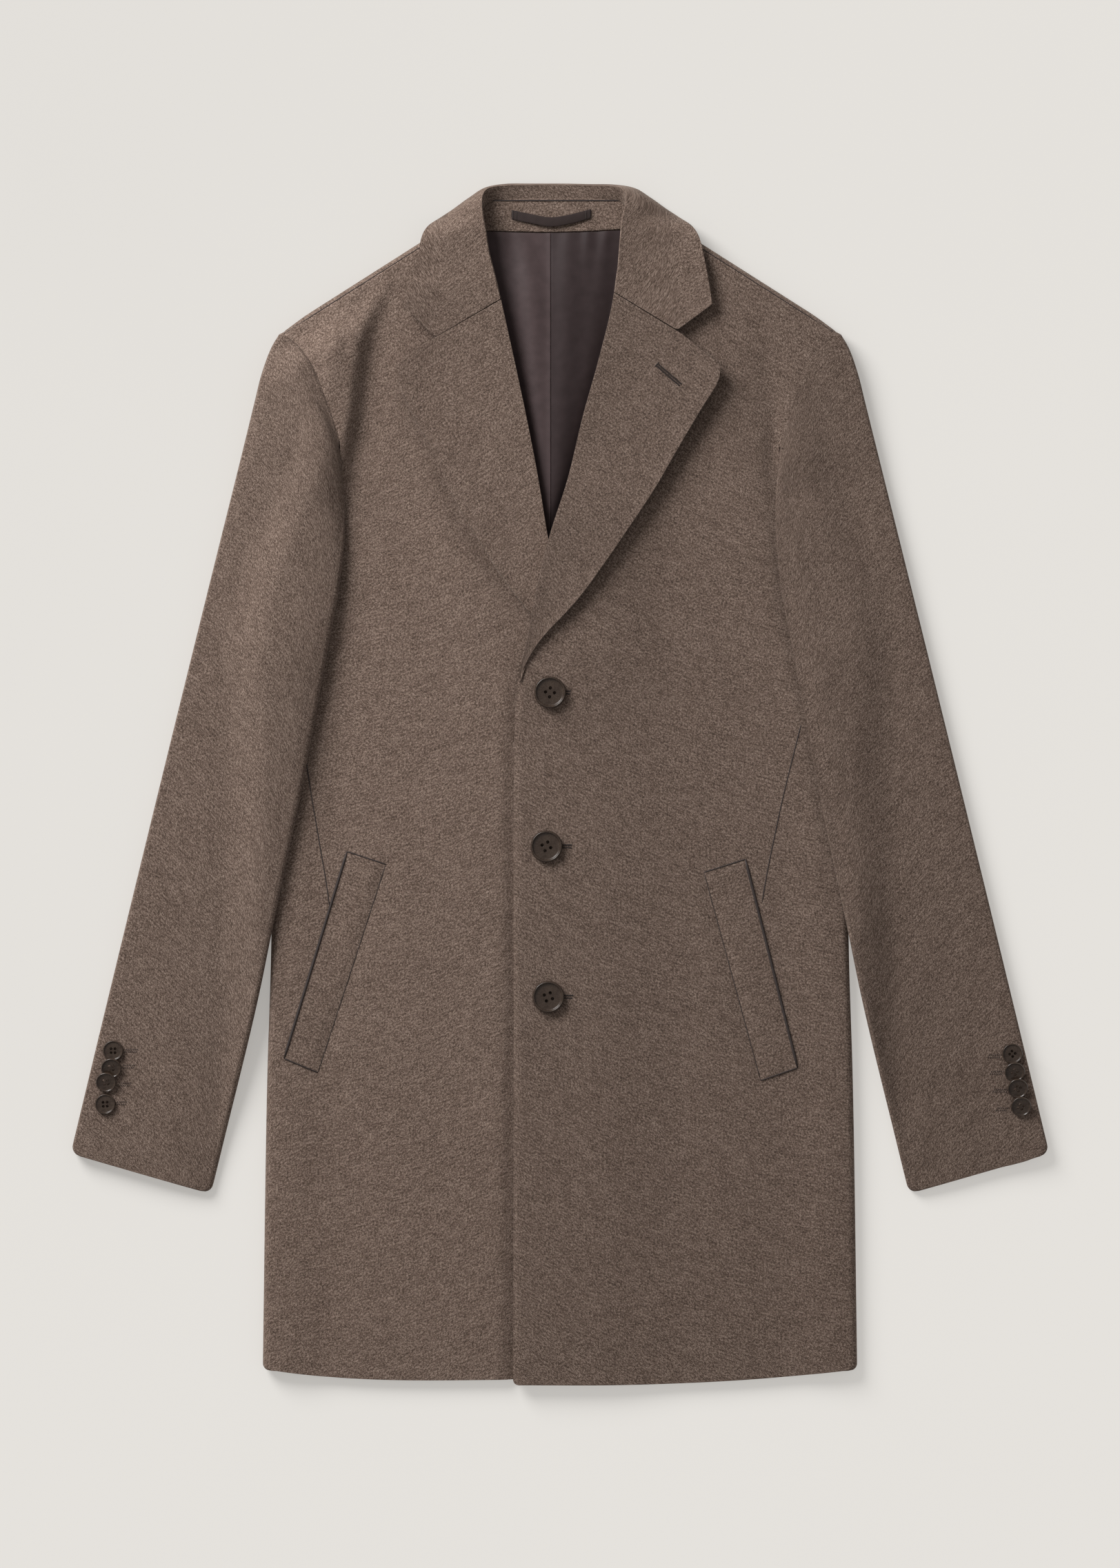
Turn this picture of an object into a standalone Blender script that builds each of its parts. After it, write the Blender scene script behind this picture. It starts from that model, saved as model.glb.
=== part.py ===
"""A single-breasted wool coat, laid flat on its back with its front up.

The frame is in millimetres here and in metres in the scene: x runs to the viewer's right, y to the collar,
z up from the surface. "Across" is the distance from the middle towards the side that a piece lies on, so the
two sides share their formulas. The wearer's right is on the viewer's left.
"""

import math

import bmesh
import bpy
import numpy as np
from mathutils import Vector
from mathutils.bvhtree import BVHTree

MM = 0.001
LEFT, RIGHT = 1, -1
SIDE_NAMES = {LEFT: "left", RIGHT: "right"}

# Cloth
WALL = 2.8
LEAF_WALL = 2.4
LINING_WALL = 1.0
FACING_WALL = 2.0
WELT_WALL = 2.0
SEAM = 0.3
LAY = 0.5

# Folds of the body and sleeves
SHOULDER_SLOPE = 0.636
SHOULDER_START = (115.0, 420.7)
SHOULDER_RADIUS = 7.0
SHOULDER_SEAM = 4.0
SHOULDER_LIP = 0.8
SHOULDER_GAP = 1.0
SIDE_TAIL = 12.0
SIDE_PUFF = 3.4
PUFF_FROM_FOLD = (55.0, 14.0)
PUFF_Y = (165.0, 95.0)
FOLD_STEPS = 5
SLEEVE_TAIL = 20.0
HEAD_TAIL_CUT = 0.8
LAPEL_FOLD = 10.0
LAPEL_GAP = 0.6
ARMHOLE_GAP = 0.7
LIP = 2.0
CREST_RADIUS = 4.0

# The left front's lift over the right one and over its lapel: where each starts and is whole
OVERLAP_RISE = WALL + LAY
OVERLAP_ACROSS = (60.0, 24.0)
OVERLAP_Y = (245.0, 205.0)
LAPEL_RISE = 4.4
LAPEL_RISE_ACROSS = (48.0, 14.0)
LAPEL_RISE_TOP = (250.0, 205.0)
LAPEL_RISE_END = (62.0, 96.0)

# The hem's bow, and how much lower the left front hangs at its edge
HEM_BOW = 5.2
HEM_BOW_Y = (-330.0, -467.0)
HEM_BOW_SKEW = 0.35
HEM_DROP_LEFT = 3.4
HEM_DROP_Y = (-380.0, -467.0)

# Rows of the body's height: distance from the shoulder line, height of the cloth
BODY_HEIGHT = ((0, 14.0), (30, 12.6), (70, 10.8), (130, 9.5), (220, 8.5), (400, 7.9), (900, 7.7))
# The dent beside the armhole: y, across, depth
DENT = (
    (392, 136, 0.0), (368, 148, 2.4), (340, 155, 3.2), (300, 162, 3.2), (262, 164, 2.6), (225, 167, 0.0),
)
DENT_WIDTH = 15.0
DENT_SHARE = {RIGHT: 1.0, LEFT: 0.55}
# Where a front's flat part ends at the armhole and then at the side's fold: y, across
FRONT_OUTER = (
    (351.8, 216.0), (344, 206), (329, 194.5), (307, 185), (283, 176.5), (262, 171.7), (235, 173.5),
    (200, 187), (165, 203), (145, 213.0), (120, 215.0), (20, 218.0), (-152.8, 221.3), (-217, 223.5),
    (-325, 225.1), (-460, 225.8),
)
UNDERARM = 145.0
# A front's sections: y at its inner edge, y at its outer edge
FRONT_ROWS = (
    (446.0, 351.8), (445.1, 350.9), (440.5, 346.0), (420, 328), (400, 306), (377, 284), (345, 260),
    (310, 232), (272, 200), (235, 168), (205, 145), (180, 118), (150, 90), (122, 66), (99.3, 46),
    (97.0, 44), (84, 33), (66, 18), (10, -30), (-80, -105), (-175, -190), (-270, -278), (-365, -367),
    (-430, -428), (-467.3, -458),
)
FRONT_FLAT_COLUMNS = 11
# Roll lines from the collar to the lowest point of the lapel: y, across
ROLL_RIGHT = (
    (384, 46.8), (379, 46.0), (330, 35.2), (290, 26.7), (236, 16.3), (195, 9.6), (128, -4.3), (88, -11.2),
)
ROLL_LEFT = (
    (390, 43.6), (384.5, 42.4), (330, 29.6), (290, 18.4), (236, 5.2), (195, -7.9), (128, -22.9), (88, -29.6),
)
# Front edges under the lapels, and the fronts' neck edges above them: y, across. The rolls lie between
EDGE_RIGHT = ((97, -9.8), (84, -13.2), (66, -16.2), (40, -17.4), (-475, -17.5))
EDGE_LEFT = ((97, -28.2), (84, -30.9), (66, -34.4), (40, -35.4), (-475, -36.4))
NECK_EDGE = ((455, 68.0), (430, 66.5), (405, 62.5), (385, 59.0), (370, 57.0))
NECK_END = 377.5
ROLL_END = 98.0
# Lapels: y on the roll line, across and y of the outer edge, height of the fold, lift of the outer edge
LAPEL_RIGHT = (
    (378.5, 128.0, 327.5, 11.6, 4.0), (362, 126.0, 314, 11.2, 4.0), (338, 115.5, 289, 10.4, 3.6),
    (300, 98.3, 259.7, 9.2, 3.2), (262, 84.0, 226, 8.2, 2.6), (225, 66.0, 195, 7.2, 1.8),
    (190, 45.0, 162, 6.8, 1.0), (155, 22.7, 133, 6.8, 0.6), (122, 3.0, 112, 6.8, 0.3),
    (100.5, 0.6, 101.5, 6.8, 0.2),
)
LAPEL_LEFT = (
    (383.9, 125.5, 326.5, 11.6, 5.0), (366, 123.5, 315, 11.2, 5.0), (338, 110.2, 293, 10.4, 4.6),
    (300, 90.7, 260, 9.2, 4.2), (262, 74.0, 231, 8.4, 3.6), (225, 55.5, 203, 7.6, 3.0),
    (190, 36.7, 175.5, 7.4, 2.4), (155, 14.5, 145.5, 7.2, 1.6), (122, -8.0, 122, 7.0, 0.8),
    (100.5, -17.6, 102.5, 7.0, 0.3),
)
LAPEL_FLAT_COLUMNS = 8
# The collar from the middle of the back to its end: across, y, z of its neck seam, its roll and its edge
COLLAR = (
    (0.0, 457.3, 5.0, 0.0, 463.4, 32.0, 0.0, 469.4, 0.4),
    (20.0, 457.3, 5.0, 20.0, 463.4, 32.2, 20.4, 469.4, 0.4),
    (40.0, 457.3, 5.0, 41.0, 463.5, 33.0, 42.5, 469.4, 0.4),
    (52.0, 456.6, 5.5, 52.3, 461.5, 34.5, 58.8, 466.0, 0.4),
    (57.5, 453.5, 6.2, 58.0, 457.6, 35.5, 70.5, 458.4, 0.4),
    (61.0, 448.5, 7.5, 60.0, 452.5, 36.0, 80.0, 449.6, 0.6),
    (62.3, 442.0, 9.0, 59.5, 446.5, 36.0, 92.0, 442.0, 3.5),
    (62.3, 435.0, 10.2, 58.8, 439.5, 35.5, 103.0, 434.8, 12.5),
    (61.8, 427.0, 10.6, 57.8, 431.5, 34.5, 108.6, 426.0, 18.0),
    (60.2, 413.0, 10.4, 55.0, 416.0, 31.0, 110.8, 410.5, 18.0),
    (57.6, 399.5, 9.8, 51.5, 402.0, 27.0, 114.0, 396.0, 18.0),
    (54.6, 388.0, 9.2, 48.7, 391.0, 23.4, 118.0, 384.5, 17.6),
    (52.0, 377.4, 8.8, 46.1, 379.3, 20.0, 121.8, 373.2, 17.2),
)
# How far the collar's left end lies from those rows, in across and y, and between which rows that grows
COLLAR_SHIFT_LEFT = (-2.4, 5.4)
COLLAR_SHIFT_ROWS = (7, 12)
# Rows before this one are taken whole, later ones in half steps
COLLAR_HALF_STEPS = 3
CREST_ANGLES = (135, 90, 45)
# Behind the neck the fall bulges out and hangs, which ends between these rows
BEHIND_ROWS = (4.5, 7.5)
FALL_BULGE = 2.6
FALL_BULGE_HEIGHT = 0.62
NOTCH_PLACE = 0.69
NOTCH_DROP = 25.2
NOTCH_ROWS = 3.2
FALL_SHARES = (0.17, 0.34, 0.52, NOTCH_PLACE, 0.85, 1.0)
# The back from neck to hem: y in the middle, across and y of its side, how far it keeps the shoulders' line
BACK_ROWS = (
    (456.2, 212, 350.7, 1.0), (428, 201, 325, 0.92), (385, 193.5, 290, 0.8), (325, 190.5, 245, 0.55),
    (260, 192.5, 198, 0.3), (195, 198.0, 152, 0.1), (135, 202.0, 118, 0.0), (40, 204.8, 30, 0.0),
    (-80, 207.0, -85, 0.0), (-200, 210.0, -200, 0.0), (-330, 212.2, -328, 0.0), (-465.5, 212.9, -455.5, 0.0),
)
BACK_COLUMNS = (0, 0.076, 0.151, 0.226, 0.302, 0.434, 0.575, 0.717, 0.858, 1.0)
NECK_COLUMNS = 0.3
# The sleeves' folds: y, across
SLEEVE_INNER = (
    (262, 172.2), (235, 169.2), (200, 168.3), (157, 172.0), (107, 181.0), (56, 190.5), (0, 201.0),
    (-60, 213.5), (-122, 226.5), (-152.8, 232.7), (-282.4, 264.1), (-316, 272.4),
)
SLEEVE_OUTER = (
    (353, 219.6), (344, 224.6), (322.4, 232.7), (300.8, 238.1), (279.2, 244.1), (236, 254.9), (-282.4, 381.8),
    (-290, 383.6),
)
# The body's side under the sleeves, where they step down: y, across
SIDE = (
    (300, 160), (262, 172), (140, 220), (20, 223.5), (-152.8, 226.8), (-217, 229), (-325, 230.6),
    (-475, 231.3),
)
# Sleeve sections: y at the inner fold, y at the outer fold, share of the armhole's bow, share of the head
SLEEVE_ROWS = (
    (262, 352.2, 1.0, 1.0), (254, 343, 0.92, 0.95), (238, 324, 0.74, 0.8), (208, 290, 0.48, 0.5),
    (165, 242, 0.2, 0.15), (115, 182, 0.0, 0.0), (60, 118, 0.0, 0.0), (0, 48, 0.0, 0.0), (-60, -20, 0.0, 0.0),
    (-115, -82, 0.0, 0.0), (-165, -132, 0.0, 0.0), (-215, -183, 0.0, 0.0), (-262, -233, 0.0, 0.0),
    (-295, -266, 0.0, 0.0), (-315.5, -286.5, 0.0, 0.0),
)
UNDER_FIRST_ROW = 4
UNDER_COLUMNS = 7
# Height of the sleeve's cloth over what it lies on, and at the armhole seam: place across, arm, seam
SLEEVE_HEIGHT = ((0.0, 9.4, 15.8), (0.25, 7.6, 12.6), (0.5, 7.3, 12.2), (0.75, 7.6, 12.6), (1.0, 10.0, 13.0))
HEAD_PUFF = 3.2
SLEEVE_STEP = (-40.0, -3.0)
SLEEVE_LAY = 0.9
SLEEVE_FLAT_COLUMNS = 8
# Pocket welts, corners in x and y: outer top, inner top, inner bottom, outer bottom
WELT_RIGHT = ((-166.8, -52.9), (-136.4, -62.9), (-189.6, -225.9), (-215.9, -214.8))
WELT_LEFT = ((145.1, -58.9), (112.8, -69.2), (157.2, -232.3), (186.0, -222.2))
WELT_GRID = (4, 10)
# What shows inside the neck
LINING_SEAM_X = -7.2
LINING_TUCK = 8.0
LINING_NECK_GAP = 4.0
LINING_COLUMNS = 6
LINING_SAG_FROM = 420.0
LINING_BASE = WALL + SEAM
LINING_ROWS = (434.6, 415, 390, 360, 320, 280, 240, 205, 186)
FACING_TOP = ((0, 456.4), (25, 456.4), (42, 456.2), (52, 454.6), (58.5, 449.5))
FACING_SIDE = ((449.5, 58.5), (436, 60.5))
FACING_BOTTOM = 435.0
FACING_BOTTOM_SAG = 2.4
FACING_ROWS = (0.0, 0.35, 0.7, 1.0)
FACING_COLUMNS = 15
LOOP_WIDTH = 7.4
LOOP_WALL = 1.2
LOOP_RISE = 1.6
LOOP_COLUMNS = 13
# The hanger loop's middle line: x, y
LOOP_LINE = ((-38.0, 446.2), (-23.0, 443.0), (-7.6, 440.4), (8.0, 442.6), (24.2, 447.0))
# Buttons: x, y
FRONT_BUTTONS = ((-7.8, 71.6), (-10.6, -48.8), (-9.1, -166.5))
CUFF_BUTTONS_RIGHT = ((-349.7, -208.7), (-351.0, -221.9), (-355.1, -232.9), (-355.9, -250.6))
CUFF_BUTTONS_LEFT = ((353.9, -211.1), (355.6, -224.9), (358.0, -237.8), (360.5, -252.0))
# A button's profile from the top's middle to its thread shank: share of the radius, of the thickness
BUTTON_PROFILE = (
    (0.0, 0.68), (0.6, 0.66), (0.72, 0.78), (0.8, 0.97), (0.9, 0.97), (1.0, 0.66), (0.97, 0.3), (0.7, 0.04),
    (0.24, 0.0),
)
SHANK = {"radius": 0.2, "least": 0.4}
FRONT_BUTTON = {"radius": 12.5, "thickness": 4.4, "steps": 20}
CUFF_BUTTON = {"radius": 8.0, "thickness": 2.6, "steps": 14}
CUFF_TILT = math.radians(14.5)
RIM_PLACES = 13

# Colours, in linear light
WOOL = (0.165, 0.117, 0.096)
WOOL_DARK = (0.150, 0.106, 0.086)
SATIN = (0.058, 0.043, 0.045)
LOOP_CLOTH = (0.045, 0.034, 0.033)
HORN = (0.040, 0.027, 0.021)


def smooth(value, start, end):
    """From 0 at start to 1 at end, with an even slope at both."""
    share = np.clip((np.asarray(value, float) - start) / (end - start), 0, 1)
    return share * share * (3 - 2 * share)


def along(table, place):
    """The table's other columns at a place in its first one, on a smooth curve through its rows."""
    rows = np.array(table, float)
    rows = rows[np.argsort(rows[:, 0])]
    keys = rows[:, 0]
    slopes = np.gradient(rows[:, 1:], keys, axis=0)
    place = np.clip(np.asarray(place, float), keys[0], keys[-1])
    k = np.clip(np.searchsorted(keys, place, side="right") - 1, 0, len(keys) - 2)
    step = (keys[k + 1] - keys[k])[..., None]
    f = (place - keys[k])[..., None] / step
    low, high = rows[k, 1:], rows[k + 1, 1:]
    value = (
        low * (1 + 2 * f) * (1 - f) ** 2
        + high * (3 - 2 * f) * f**2
        + step * slopes[k] * f * (1 - f) ** 2
        - step * slopes[k + 1] * (1 - f) * f**2
    )
    return value[..., 0] if value.shape[-1] == 1 else value


def mixed(a, b, share):
    return a + (b - a) * share


def shoulder_y(across):
    return SHOULDER_START[1] - SHOULDER_SLOPE * (across - SHOULDER_START[0])


SHOULDER_NORMAL = np.array([SHOULDER_SLOPE, 1.0]) / math.hypot(SHOULDER_SLOPE, 1)


def from_shoulder(across, y):
    """Distance inside the shoulder's line."""
    return (shoulder_y(across) - y) * SHOULDER_NORMAL[1]


def body_top(side, across, y):
    """Height of a front that lies on the back, before anything laps over."""
    height = along(BODY_HEIGHT, np.clip(from_shoulder(across, y), 0, None))
    side_fold = along(SIDE, y)
    low_body = smooth(y, *PUFF_Y)
    start, whole = PUFF_FROM_FOLD
    puff = SIDE_PUFF * smooth(across, side_fold - start, side_fold - whole) * low_body
    dent_across, depth = np.moveaxis(along(DENT, y), -1, 0)
    dent = DENT_SHARE[side] * depth * np.exp(-(((across - dent_across) / DENT_WIDTH) ** 2))
    return height + puff - dent


def front_top(side, across, y):
    """Height of a front's outer face. The left front laps over the right one and over its lapel."""
    height = body_top(side, across, y)
    if side == RIGHT:
        return height
    lapped = smooth(across, *OVERLAP_ACROSS) * smooth(y, *OVERLAP_Y)
    over_lapel = smooth(across, *LAPEL_RISE_ACROSS) * smooth(y, *LAPEL_RISE_TOP) * smooth(y, *LAPEL_RISE_END)
    return height + OVERLAP_RISE * lapped + LAPEL_RISE * over_lapel


def roll_across(side, y):
    return along(ROLL_LEFT if side == LEFT else ROLL_RIGHT, y)


def front_inner(side, y):
    """A front's inner edge: the neck, then the inside of the lapel's fold, then the free front edge."""
    if y > NECK_END:
        return float(along(NECK_EDGE, y))
    if y > ROLL_END:
        return float(roll_across(side, y)) + LAPEL_FOLD
    return float(along(EDGE_LEFT if side == LEFT else EDGE_RIGHT, y))


def fold(edge, outward, top, base, angle):
    """A point of the cloth as it turns under at an edge: angle 0 on top, pi underneath."""
    radius = (top - base) / 2
    place = edge - outward * radius * (1 - math.sin(angle))
    return [*place, base + radius * (1 + math.cos(angle))]


FOLD_ANGLES = [math.pi * k / FOLD_STEPS for k in range(1, FOLD_STEPS + 1)]


def front_points(side):
    """Rows from the shoulder seam to the hem; columns from the inner edge over the side to its tail."""
    flat = np.linspace(0, 1, FRONT_FLAT_COLUMNS)
    rows = []
    for inner_y, outer_y in FRONT_ROWS:
        inner = np.array([front_inner(side, inner_y), inner_y])
        outer = np.array([float(along(FRONT_OUTER, outer_y)), outer_y])
        if side == LEFT:
            inner[1] -= HEM_DROP_LEFT * smooth(inner_y, *HEM_DROP_Y)
        place = inner + (outer - inner) * flat[:, None]
        bow = HEM_BOW * float(smooth(inner_y, *HEM_BOW_Y))
        place[:, 1] -= bow * 4 * flat * (1 - flat) * (1 - HEM_BOW_SKEW * flat)
        top = front_top(side, place[:, 0], place[:, 1])
        drop = np.clip(SHOULDER_RADIUS - from_shoulder(place[:, 0], place[:, 1]), 0, SHOULDER_RADIUS)
        top -= SHOULDER_RADIUS - np.sqrt(SHOULDER_RADIUS**2 - drop**2)
        row = np.column_stack([place, top]).tolist()
        outward = np.array([1.0, 0.0])
        edge = outer + outward * top[-1] / 2
        row += [fold(edge, outward, top[-1], 0.0, angle) for angle in FOLD_ANGLES]
        row.append([outer[0] - SIDE_TAIL, outer[1], 0.0])
        rows.append(row)
    return mirrored(np.array(rows), side)


def mirrored(points, side):
    points = points.copy()
    points[..., 0] *= side
    return points


def lapel_points(side):
    """Rows from the gorge to the first button; columns from the outer edge over the roll to its inside."""
    table = LAPEL_LEFT if side == LEFT else LAPEL_RIGHT
    rows = []
    for roll_y, edge_across, edge_y, crown, lift in table:
        roll = np.array([float(roll_across(side, roll_y)), roll_y])
        edge = np.array([edge_across, edge_y])
        outward = (edge - roll) / np.linalg.norm(edge - roll)
        inside_y = roll_y + outward[1] * LAPEL_FOLD
        inside = np.array([float(roll_across(side, inside_y)) + LAPEL_FOLD - LAPEL_GAP, inside_y])
        base = float(front_top(side, *inside)) - WALL
        top = base + crown
        start = roll + outward * crown / 2
        row = []
        for share in np.linspace(1, 0, LAPEL_FLAT_COLUMNS):
            place = start + (edge - start) * share
            floor = float(front_top(side, *place)) + LAY + LEAF_WALL
            rise = max(top - floor, 0) * (1 - share) ** 2 + lift * share**2
            row.append([*place, max(floor + rise, top if share == 0 else 0)])
        row += [fold(roll, -outward, top, base, angle) for angle in FOLD_ANGLES]
        row.append([*inside, base])
        rows.append(row)
    return mirrored(np.array(rows), side)


def collar_half(side):
    """Rows from the middle of the back to the gorge; columns from the neck seam over the roll to the edge."""
    shift = np.array(COLLAR_SHIFT_LEFT if side == LEFT else (0.0, 0.0))
    first, last = COLLAR_SHIFT_ROWS
    keyed = [(k, *row) for k, row in enumerate(COLLAR)]
    half_steps = np.arange(COLLAR_HALF_STEPS, len(COLLAR) - 0.9, 0.5)
    stations = [*range(COLLAR_HALF_STEPS), *half_steps]
    rows = []
    for station in stations:
        values = along(keyed, station)
        moved = shift * float(smooth(station, first, last))
        seam, roll, edge = (values[k : k + 3] + np.array([*moved, 0.0]) for k in (0, 3, 6))
        outward = edge[:2] - roll[:2]
        outward = np.append(outward / np.linalg.norm(outward), 0.0)
        up = np.array([0.0, 0.0, 1.0])
        middle = roll + outward * CREST_RADIUS - up * CREST_RADIUS
        inside = middle - outward * CREST_RADIUS
        row = [seam, seam + (inside - seam) * 0.5, inside]
        for angle in CREST_ANGLES:
            turn = math.radians(angle)
            row.append(middle + CREST_RADIUS * (outward * math.cos(turn) + up * math.sin(turn)))
        start = row[-1]
        behind = 1 - float(smooth(station, *BEHIND_ROWS))
        hanging = np.array([*(edge[:2] + outward[:2] * FALL_BULGE), start[2] * FALL_BULGE_HEIGHT])
        bend = mixed((start + edge) / 2, hanging, behind)
        notch = float(np.clip(1 - (len(COLLAR) - 1 - station) / NOTCH_ROWS, 0, 1))
        for share in FALL_SHARES:
            point = start * (1 - share) ** 2 + bend * 2 * share * (1 - share) + edge * share**2
            tent = share / NOTCH_PLACE if share <= NOTCH_PLACE else (1 - share) / (1 - NOTCH_PLACE)
            point[1] -= NOTCH_DROP * tent * notch
            if behind == 0 or from_shoulder(point[0], point[1]) > 0:
                point[2] = max(point[2], float(front_top(side, point[0], point[1])) + LAY + LEAF_WALL)
            row.append(point)
        rows.append(row)
    return mirrored(np.array(rows), side)


def collar_points():
    left, right = collar_half(LEFT), collar_half(RIGHT)
    return np.concatenate([right[:0:-1], left])


def back_points():
    """Rows from the shoulder seam under to the neck and down to the hem; columns from side to side."""
    shares = np.array([-c for c in BACK_COLUMNS[:0:-1]] + list(BACK_COLUMNS))
    wide = np.abs(shares)
    rows = []
    middle_y, side_across, side_y, _ = BACK_ROWS[0]
    flat_y = np.minimum(middle_y, shoulder_y(wide * side_across) - SHOULDER_RADIUS / SHOULDER_NORMAL[1])
    top_shape = (flat_y - middle_y) / (flat_y[-1] - middle_y)
    seam_angle = math.pi - math.asin(1 - (SHOULDER_SEAM - SHOULDER_GAP) / SHOULDER_RADIUS)
    lip_angle = seam_angle - SHOULDER_LIP / SHOULDER_RADIUS
    for angle in [seam_angle, *np.linspace(lip_angle, 0, FOLD_STEPS)[:-1]]:
        reach = SHOULDER_RADIUS * math.sin(angle)
        rows.append(
            np.column_stack(
                [
                    shares * side_across + np.sign(shares) * reach * SHOULDER_NORMAL[0],
                    flat_y + reach * SHOULDER_NORMAL[1],
                    np.full(len(shares), SHOULDER_RADIUS * (1 - math.cos(angle))),
                ]
            )
        )
    for middle_y, side_across, side_y, keeps in BACK_ROWS:
        shape = mixed(wide**2, top_shape, keeps)
        y = middle_y + (side_y - middle_y) * shape
        rows.append(np.column_stack([shares * side_across, y, np.zeros(len(shares))]))
    return np.array(rows)


def back_keeps(row, column):
    """The rows that fold over the shoulders leave the neck open."""
    shares = [-c for c in BACK_COLUMNS[:0:-1]] + list(BACK_COLUMNS)
    return row >= FOLD_STEPS or min(abs(shares[column]), abs(shares[column + 1])) > NECK_COLUMNS


def sleeve_base(side, across, y):
    """What a sleeve lies on: the body's front, then the surface beside it."""
    side_fold = along(SIDE, y)
    return (body_top(side, across, y) + SLEEVE_LAY) * smooth(side_fold - across, *SLEEVE_STEP)


def sleeve_section(row):
    """A section's inner fold, outer fold, bow and share of the sleeve's head."""
    inner_y, outer_y, bow, head = row
    inner = np.array([float(along(SLEEVE_INNER, inner_y)), inner_y])
    outer = np.array([float(along(SLEEVE_OUTER, outer_y)), outer_y])
    return inner, outer, bow, head


def armhole_bow():
    """The armhole seam's distance from the straight line between its ends: shares of that line, distances."""
    ends = SLEEVE_INNER[0][0], FRONT_OUTER[0][0]
    y = np.linspace(*ends, 40)
    seam = np.column_stack([along(FRONT_OUTER, y), y])
    line = seam[-1] - seam[0]
    length = np.linalg.norm(line)
    normal = np.array([-line[1], line[0]]) / length
    offset = seam - seam[0]
    return offset @ line / length**2, offset @ normal - ARMHOLE_GAP


ARMHOLE_SHARES, ARMHOLE_OFFSETS = armhole_bow()


def sleeve_places(inner, outer, bow, shares):
    """Places across a section, bowed towards the shoulder at the sleeve's head."""
    line = outer - inner
    normal = np.array([-line[1], line[0]]) / np.linalg.norm(line)
    offsets = np.interp(shares, ARMHOLE_SHARES, ARMHOLE_OFFSETS)
    return inner + line * shares[:, None] + normal * (bow * offsets)[:, None]


def sleeve_upper_points(side):
    """Rows from the armhole seam to the cuff; columns from the inner tail over the top to the outer tail."""
    rows = []
    for row in SLEEVE_ROWS:
        inner, outer, bow, head = sleeve_section(row)
        length = np.linalg.norm(outer - inner)
        outward = (outer - inner) / length
        ends = []
        for edge, share in ((inner, 0.0), (outer, 1.0)):
            base = float(sleeve_base(side, *edge))
            arm, seam = along(SLEEVE_HEIGHT, share)
            ends.append((base, mixed(base + arm, seam, head)))
        radii = [(top - base) / 2 for base, top in ends]
        shares = np.linspace(radii[0] / length, 1 - radii[1] / length, SLEEVE_FLAT_COLUMNS)
        place = sleeve_places(inner, outer, bow, shares)
        arm, seam = along(SLEEVE_HEIGHT, np.linspace(0, 1, SLEEVE_FLAT_COLUMNS)).T
        base = sleeve_base(side, place[:, 0], place[:, 1])
        puff = HEAD_PUFF * 4 * head * (1 - head) * np.sin(math.pi * shares)
        top = mixed(base + arm, seam, head) + puff
        top[0], top[-1] = ends[0][1], ends[1][1]
        tail = SLEEVE_TAIL * (1 - HEAD_TAIL_CUT * head)
        section = []
        for edge, way, (low, high) in ((inner, -outward, ends[0]), (outer, outward, ends[1])):
            turned = [fold(edge, way, high, low, angle) for angle in FOLD_ANGLES]
            radius = (high - low) / 2
            tails = [edge - way * (radius + reach) for reach in (tail / 2, tail - LIP, tail)]
            turned += [[*p, float(sleeve_base(side, *p))] for p in tails]
            section.append(turned)
        rows.append(section[0][::-1] + np.column_stack([place, top]).tolist() + section[1])
    return mirrored(np.array(rows), side)


def sleeve_under_points(side):
    """The plain panel under a sleeve, between the upper panel's tails."""
    rows = []
    for row in SLEEVE_ROWS[UNDER_FIRST_ROW:]:
        inner, outer, _, head = sleeve_section(row)
        length = np.linalg.norm(outer - inner)
        tail = SLEEVE_TAIL * (1 - HEAD_TAIL_CUT * head) + SEAM
        starts = []
        for edge, share in ((inner, 0.0), (outer, 1.0)):
            base = float(sleeve_base(side, *edge))
            arm, seam = along(SLEEVE_HEIGHT, share)
            starts.append((mixed(base + arm, seam, head) - base) / 2 + tail)
        first, last = starts[0] / length, 1 - starts[1] / length
        lip = LIP / length
        shares = np.array([first, *np.linspace(first + lip, last - lip, UNDER_COLUMNS), last])
        place = sleeve_places(inner, outer, 0.0, shares)
        rows.append(np.column_stack([place, sleeve_base(side, place[:, 0], place[:, 1])]))
    return mirrored(np.array(rows), side)


def lining_points(side):
    """One side of the lining inside the neck, from its middle seam to under the front."""
    rows = []
    middle = side * LINING_SEAM_X + SEAM / 2
    for y in LINING_ROWS:
        outer = float(roll_across(side, y)) + LINING_TUCK
        if y > NECK_END:
            outer = float(along(NECK_EDGE, y)) - LINING_NECK_GAP
        across = np.linspace(middle, outer, LINING_COLUMNS)
        bow = 1 - (across / FACING_SIDE[-1][1]) ** 2
        sag = FACING_BOTTOM_SAG * bow * smooth(y, LINING_SAG_FROM, LINING_ROWS[0])
        rows.append(np.column_stack([across, y - sag, np.full(LINING_COLUMNS, LINING_BASE + LINING_WALL)]))
    return mirrored(np.array(rows), side)


def facing_points():
    """The wool facing at the back of the neck, between the collar's seam and the lining."""
    rows = []
    for share in FACING_ROWS:
        row = []
        for place in np.linspace(-1, 1, FACING_COLUMNS):
            wide = abs(place)
            top_across = FACING_TOP[-1][0] * wide
            top_y = float(along(FACING_TOP, top_across))
            low_across = FACING_SIDE[-1][1] * wide
            low_y = FACING_BOTTOM - FACING_BOTTOM_SAG * (1 - wide**2) + SEAM
            across = mixed(top_across, low_across, share)
            row.append([math.copysign(across, place), mixed(top_y, low_y, share), LINING_BASE + FACING_WALL])
        rows.append(row)
    return np.array(rows)


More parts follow.
